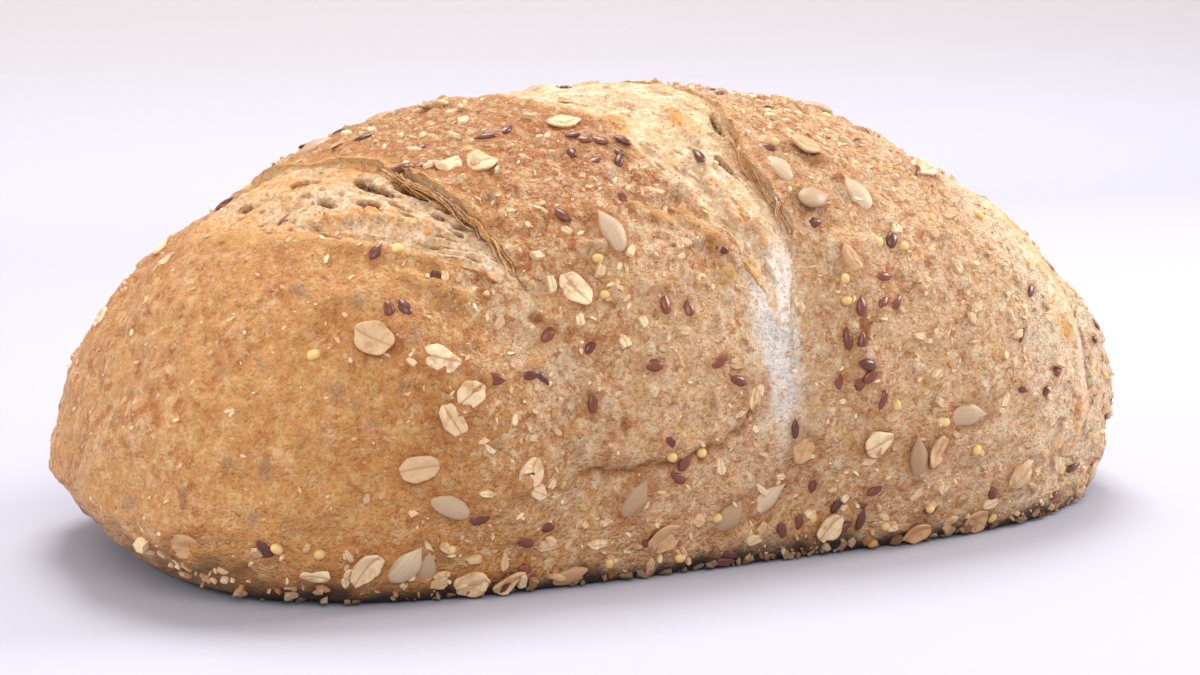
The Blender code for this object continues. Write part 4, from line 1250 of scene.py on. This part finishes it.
class LOAF_OT_strands(bpy.types.Operator):
    """Make the torn strands under the ears of the left and the middle cut"""

    bl_idname = "loaf.strands"
    bl_label = "Torn strands"

    def execute(self, context):
        thick = context.scene.loaf_sizes.strand / MM
        tubes = np.concatenate([strand_tubes(*strands, thick) for strands in STRANDS])
        tint = np.repeat(np.random.default_rng(93).uniform(0.0, 1.0, len(tubes)), tubes.shape[1])
        shares = {"toast": 0.6 + 0.6 * tint, "hollow": 0.0 * tint, "dust": 0.0 * tint}
        put_nets("torn_strands", tubes, STRAND_NET, crumb_finish(context.scene.loaf_colours), shares)
        return {"FINISHED"}


class LOAF_OT_kernels(bpy.types.Operator):
    """Make the sunflower kernels on the crust"""

    bl_idname = "loaf.kernels"
    bl_label = "Sunflower kernels"

    def execute(self, context):
        hues, size = context.scene.loaf_colours, in_mm(context.scene.loaf_sizes.kernel)
        spots = large_spots()[0]
        draw = np.random.default_rng(22)
        tints = draw.uniform(0.0, 1.0, len(spots))
        lifts = draw.uniform(-0.08, 0.16, len(spots)) * size[2]
        finish = seed_finish(
            "sunflower_kernel", hues.kernel, hues.kernel_dark, hues.toasted, 0.42, streak=0.20)
        forms = teardrop(size, KERNEL_NET, len(spots), 21, 0.72, 0.06)
        put_copies("sunflower_kernels", forms, KERNEL_NET, spots, lifts, finish, tints, tilt=0.10)
        return {"FINISHED"}


class LOAF_OT_flakes(bpy.types.Operator):
    """Make the oat flakes and the chips of broken flakes"""

    bl_idname = "loaf.flakes"
    bl_label = "Oat flakes"

    def execute(self, context):
        hues, sizes = context.scene.loaf_colours, context.scene.loaf_sizes
        finish = seed_finish("oat_flake", hues.flake, hues.flake_dark, hues.toasted, 0.6, crease=0.8)
        draw = np.random.default_rng(123)
        size, spots = in_mm(sizes.flake), large_spots()[1]
        lifts = draw.uniform(0.0, 0.5, len(spots)) * size[2]
        tints = draw.uniform(0.0, 0.9, len(spots)) ** 1.5
        forms = flake_form(size, FLAKE_NET, len(spots), 23, 0.22)
        put_copies("oat_flakes", forms, FLAKE_NET, spots, lifts, finish, tints, tilt=0.13)
        size, spots = in_mm(sizes.chip), [*CHIP_SPOTS, *spread(CHIP_COUNT, 26, TOPPED_ZONES, 1.0)]
        lifts = draw.uniform(0.1, 0.5, len(spots)) * size[2]
        tints = draw.uniform(0.0, 0.7, len(spots)) ** 1.5
        forms = splinter_form(size, CHIP_CORNERS, len(spots), 24)
        put_copies("flake_chips", forms, (2, CHIP_CORNERS), spots, lifts, finish, tints, smooth=False)
        return {"FINISHED"}


class LOAF_OT_flax(bpy.types.Operator):
    """Make the flax seeds that lie on the crust"""

    bl_idname = "loaf.flax"
    bl_label = "Flax seeds"

    def execute(self, context):
        hues, size = context.scene.loaf_colours, in_mm(context.scene.loaf_sizes.flax)
        spots = flax_spots()
        draw = np.random.default_rng(133)
        lifts, tints = draw.uniform(0.05, 0.40, len(spots)) * size[2], draw.uniform(0.0, 1.0, len(spots))
        finish = seed_finish("flax_seed", hues.flax, hues.flax_dark, hues.flax_dark, 0.32, coat=0.25)
        forms = teardrop(size, FLAX_NET, len(spots), 33, 0.55, 0.0)
        put_copies("flax_seeds", forms, FLAX_NET, spots, lifts, finish, tints, tilt=0.15)
        return {"FINISHED"}


class LOAF_OT_millet(bpy.types.Operator):
    """Make the round millet grains"""

    bl_idname = "loaf.millet"
    bl_label = "Millet"

    def execute(self, context):
        hues, size = context.scene.loaf_colours, in_mm(context.scene.loaf_sizes.millet)
        spots = [*MILLET_SPOTS, *spread(MILLET_COUNT, 41, TOPPED_ZONES, 1.0)]
        draw = np.random.default_rng(43)
        lifts, tints = draw.uniform(0.0, 0.35, len(spots)) * size[2], draw.uniform(0.0, 0.4, len(spots))
        finish = seed_finish("millet_grain", hues.millet, hues.flake_dark, hues.toasted, 0.5)
        forms = teardrop(size, MILLET_NET, len(spots), 42, 0.1, 0.0)
        put_copies("millet_grains", forms, MILLET_NET, spots, lifts, finish, tints)
        return {"FINISHED"}


class LOAF_OT_bran(bpy.types.Operator):
    """Make the specks of bran all over the crust"""

    bl_idname = "loaf.bran"
    bl_label = "Bran specks"

    def execute(self, context):
        hues, size = context.scene.loaf_colours, in_mm(context.scene.loaf_sizes.bran)
        spots = spread(BRAN_COUNT, 44, ALL_ROUND, 0.0)
        draw = np.random.default_rng(46)
        tints, lifts = draw.uniform(0.0, 1.0, len(spots)), draw.uniform(-0.05, 0.22, len(spots))
        finish = seed_finish("bran", hues.bran, hues.bran_dark, hues.toasted, 0.6)
        forms = splinter_form(size, BRAN_CORNERS, len(spots), 45)
        put_copies("bran_specks", forms, (2, BRAN_CORNERS), spots, lifts, finish, tints, smooth=False)
        return {"FINISHED"}


class LOAF_OT_base_grains(bpy.types.Operator):
    """Make the toasted crumbs and grains along the base edge"""

    bl_idname = "loaf.base_grains"
    bl_label = "Base grains"

    def execute(self, context):
        hues, size = context.scene.loaf_colours, in_mm(context.scene.loaf_sizes.chip)
        spots = spread(BASE_GRAIN_COUNT, 47, BASE_ZONES, 0.0, lowest=0.55)
        draw = np.random.default_rng(49)
        lifts, tints = draw.uniform(-0.8, 0.2, len(spots)), draw.uniform(0.0, 1.0, len(spots))
        # Near the table the grains go to the near-black base colour: painted shade where they meet the table
        finish = seed_finish("base_grain", hues.bran, hues.toasted, hues.base, 0.55)
        size = [share * value for share, value in zip(GRAIN_SHARES, size)]
        forms = splinter_form(size, GRAIN_CORNERS, len(spots), 48)
        net = (2, GRAIN_CORNERS)
        put_copies("base_grains", forms, net, spots, lifts, finish, tints, smooth=False, tilt=0.3)
        return {"FINISHED"}


class LOAF_OT_stage(bpy.types.Operator):
    """Set up the pale floor, the soft light and the camera"""

    bl_idname = "loaf.stage"
    bl_label = "Stage"

    def execute(self, context):
        stage = context.scene.loaf_stage
        self.floor(stage)
        for name, size, place in LIGHTS:
            self.light(f"{name}_light", getattr(stage, name), size, place)
        world = bpy.data.worlds.new("soft_sky")
        world.use_nodes = True
        sky = world.node_tree.nodes["Background"].inputs
        sky["Color"].default_value, sky["Strength"].default_value = (1.0, 0.985, 0.965, 1.0), stage.sky
        context.scene.world = world
        context.scene.view_settings.view_transform = "Standard"
        self.camera(context.scene)
        return {"FINISHED"}

    def floor(self, stage):
        """A sheet that runs level to the front and curves up behind: straight, quarter circle, straight."""
        bend = np.linspace(0.0, np.pi / 2.0, 24)
        y = np.array([-FLOOR_REACH, *(FLOOR_BACK + FLOOR_BEND * np.sin(bend)), FLOOR_BACK + FLOOR_BEND])
        z = np.array([0.0, *(FLOOR_BEND * (1.0 - np.cos(bend))), FLOOR_REACH])
        across = np.array([[-1.5 * FLOOR_REACH], [1.5 * FLOOR_REACH]])
        grid = np.stack(np.broadcast_arrays(across, y, z), axis=-1)
        index = np.arange(2 * len(y)).reshape(2, -1)
        quads = np.stack([index[0, :-1], index[1, :-1], index[1, 1:], index[0, 1:]], axis=-1)
        finish = Finish("pale_floor", 0.7, 0.2)
        level = finish.node("ShaderNodeSeparateXYZ", {"Vector": finish.place}).outputs["Z"]
        finish.tone = finish.mix(finish.steps(level, 0.0, 0.1), stage.floor, stage.backdrop)
        floor = mesh_object("pale_floor", grid.reshape(-1, 3), quads, quads[:0, :3], finish.finish(), {})

    def light(self, name, power, size, place):
        """A square area light that faces the loaf."""
        lamp = bpy.data.lights.new(name, "AREA")
        lamp.energy, lamp.size = power, size
        piece = bpy.data.objects.new(name, lamp)
        piece.location = place
        piece.rotation_euler = look_turn(np.array(LIGHTS_FACE) - np.array(place))
        bpy.context.scene.collection.objects.link(piece)

    def camera(self, scene):
        """The photograph's camera: back from the loaf along its azimuth and elevation, and level."""
        turn, tilt = np.radians(VIEW_AZIMUTH), np.radians(VIEW_ELEVATION)
        back = np.array([np.sin(turn) * np.cos(tilt), -np.cos(turn) * np.cos(tilt), np.sin(tilt)])
        right = np.cross(-back, (0.0, 0.0, 1.0))
        right /= np.linalg.norm(right)
        up = np.cross(right, -back)
        lens = bpy.data.cameras.new("view")
        lens.sensor_width = 36.0
        lens.angle = np.radians(VIEW_ANGLE)
        lens.clip_start = 0.01
        lens.dof.use_dof = False
        piece = bpy.data.objects.new("view", lens)
        piece.location = (np.array(VIEW_TARGET) + right * VIEW_RIGHT + up * VIEW_UP + back * VIEW_BACK) * MM
        piece.rotation_euler = look_turn(-back)
        scene.collection.objects.link(piece)
        scene.camera = piece


def look_turn(towards):
    """Euler turn of a camera or light so that its -Z axis points this way and its X axis stays level."""
    towards = towards / np.linalg.norm(towards)
    return (np.arccos(-towards[2]), 0.0, np.arctan2(-towards[0], towards[1]))


class LOAF_PT_panel(bpy.types.Panel):
    """Lists the loaf's pieces with their settings"""

    bl_idname = "LOAF_PT_panel"
    bl_label = "Multigrain loaf"
    bl_space_type = "VIEW_3D"
    bl_region_type = "UI"
    bl_category = "Loaf"

    def draw(self, context):
        for operator in OPERATORS:
            self.layout.operator(operator.bl_idname)
        for group in (context.scene.loaf_sizes, context.scene.loaf_colours, context.scene.loaf_stage):
            for name in group.__annotations__:
                self.layout.prop(group, name)


GROUPS = (LoafSizes, LoafColours, LoafStage)
OPERATORS = (LOAF_OT_crust, LOAF_OT_crumb, LOAF_OT_strands, LOAF_OT_kernels, LOAF_OT_flakes, LOAF_OT_flax,
             LOAF_OT_millet, LOAF_OT_bran, LOAF_OT_base_grains, LOAF_OT_stage)


def register():
    """Adds the classes and the three groups of settings."""
    for item in (*GROUPS, *OPERATORS, LOAF_PT_panel):
        bpy.utils.register_class(item)
    bpy.types.Scene.loaf_sizes = bpy.props.PointerProperty(type=LoafSizes)
    bpy.types.Scene.loaf_colours = bpy.props.PointerProperty(type=LoafColours)
    bpy.types.Scene.loaf_stage = bpy.props.PointerProperty(type=LoafStage)


def unregister():
    """Takes them away again."""
    del bpy.types.Scene.loaf_stage
    del bpy.types.Scene.loaf_colours
    del bpy.types.Scene.loaf_sizes
    for item in (LOAF_PT_panel, *reversed(OPERATORS), *reversed(GROUPS)):
        bpy.utils.unregister_class(item)


def main():
    """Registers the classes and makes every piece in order."""
    register()
    for operator in OPERATORS:
        group, name = operator.bl_idname.split(".")
        getattr(getattr(bpy.ops, group), name)()


if __name__ == "__main__":
    main()
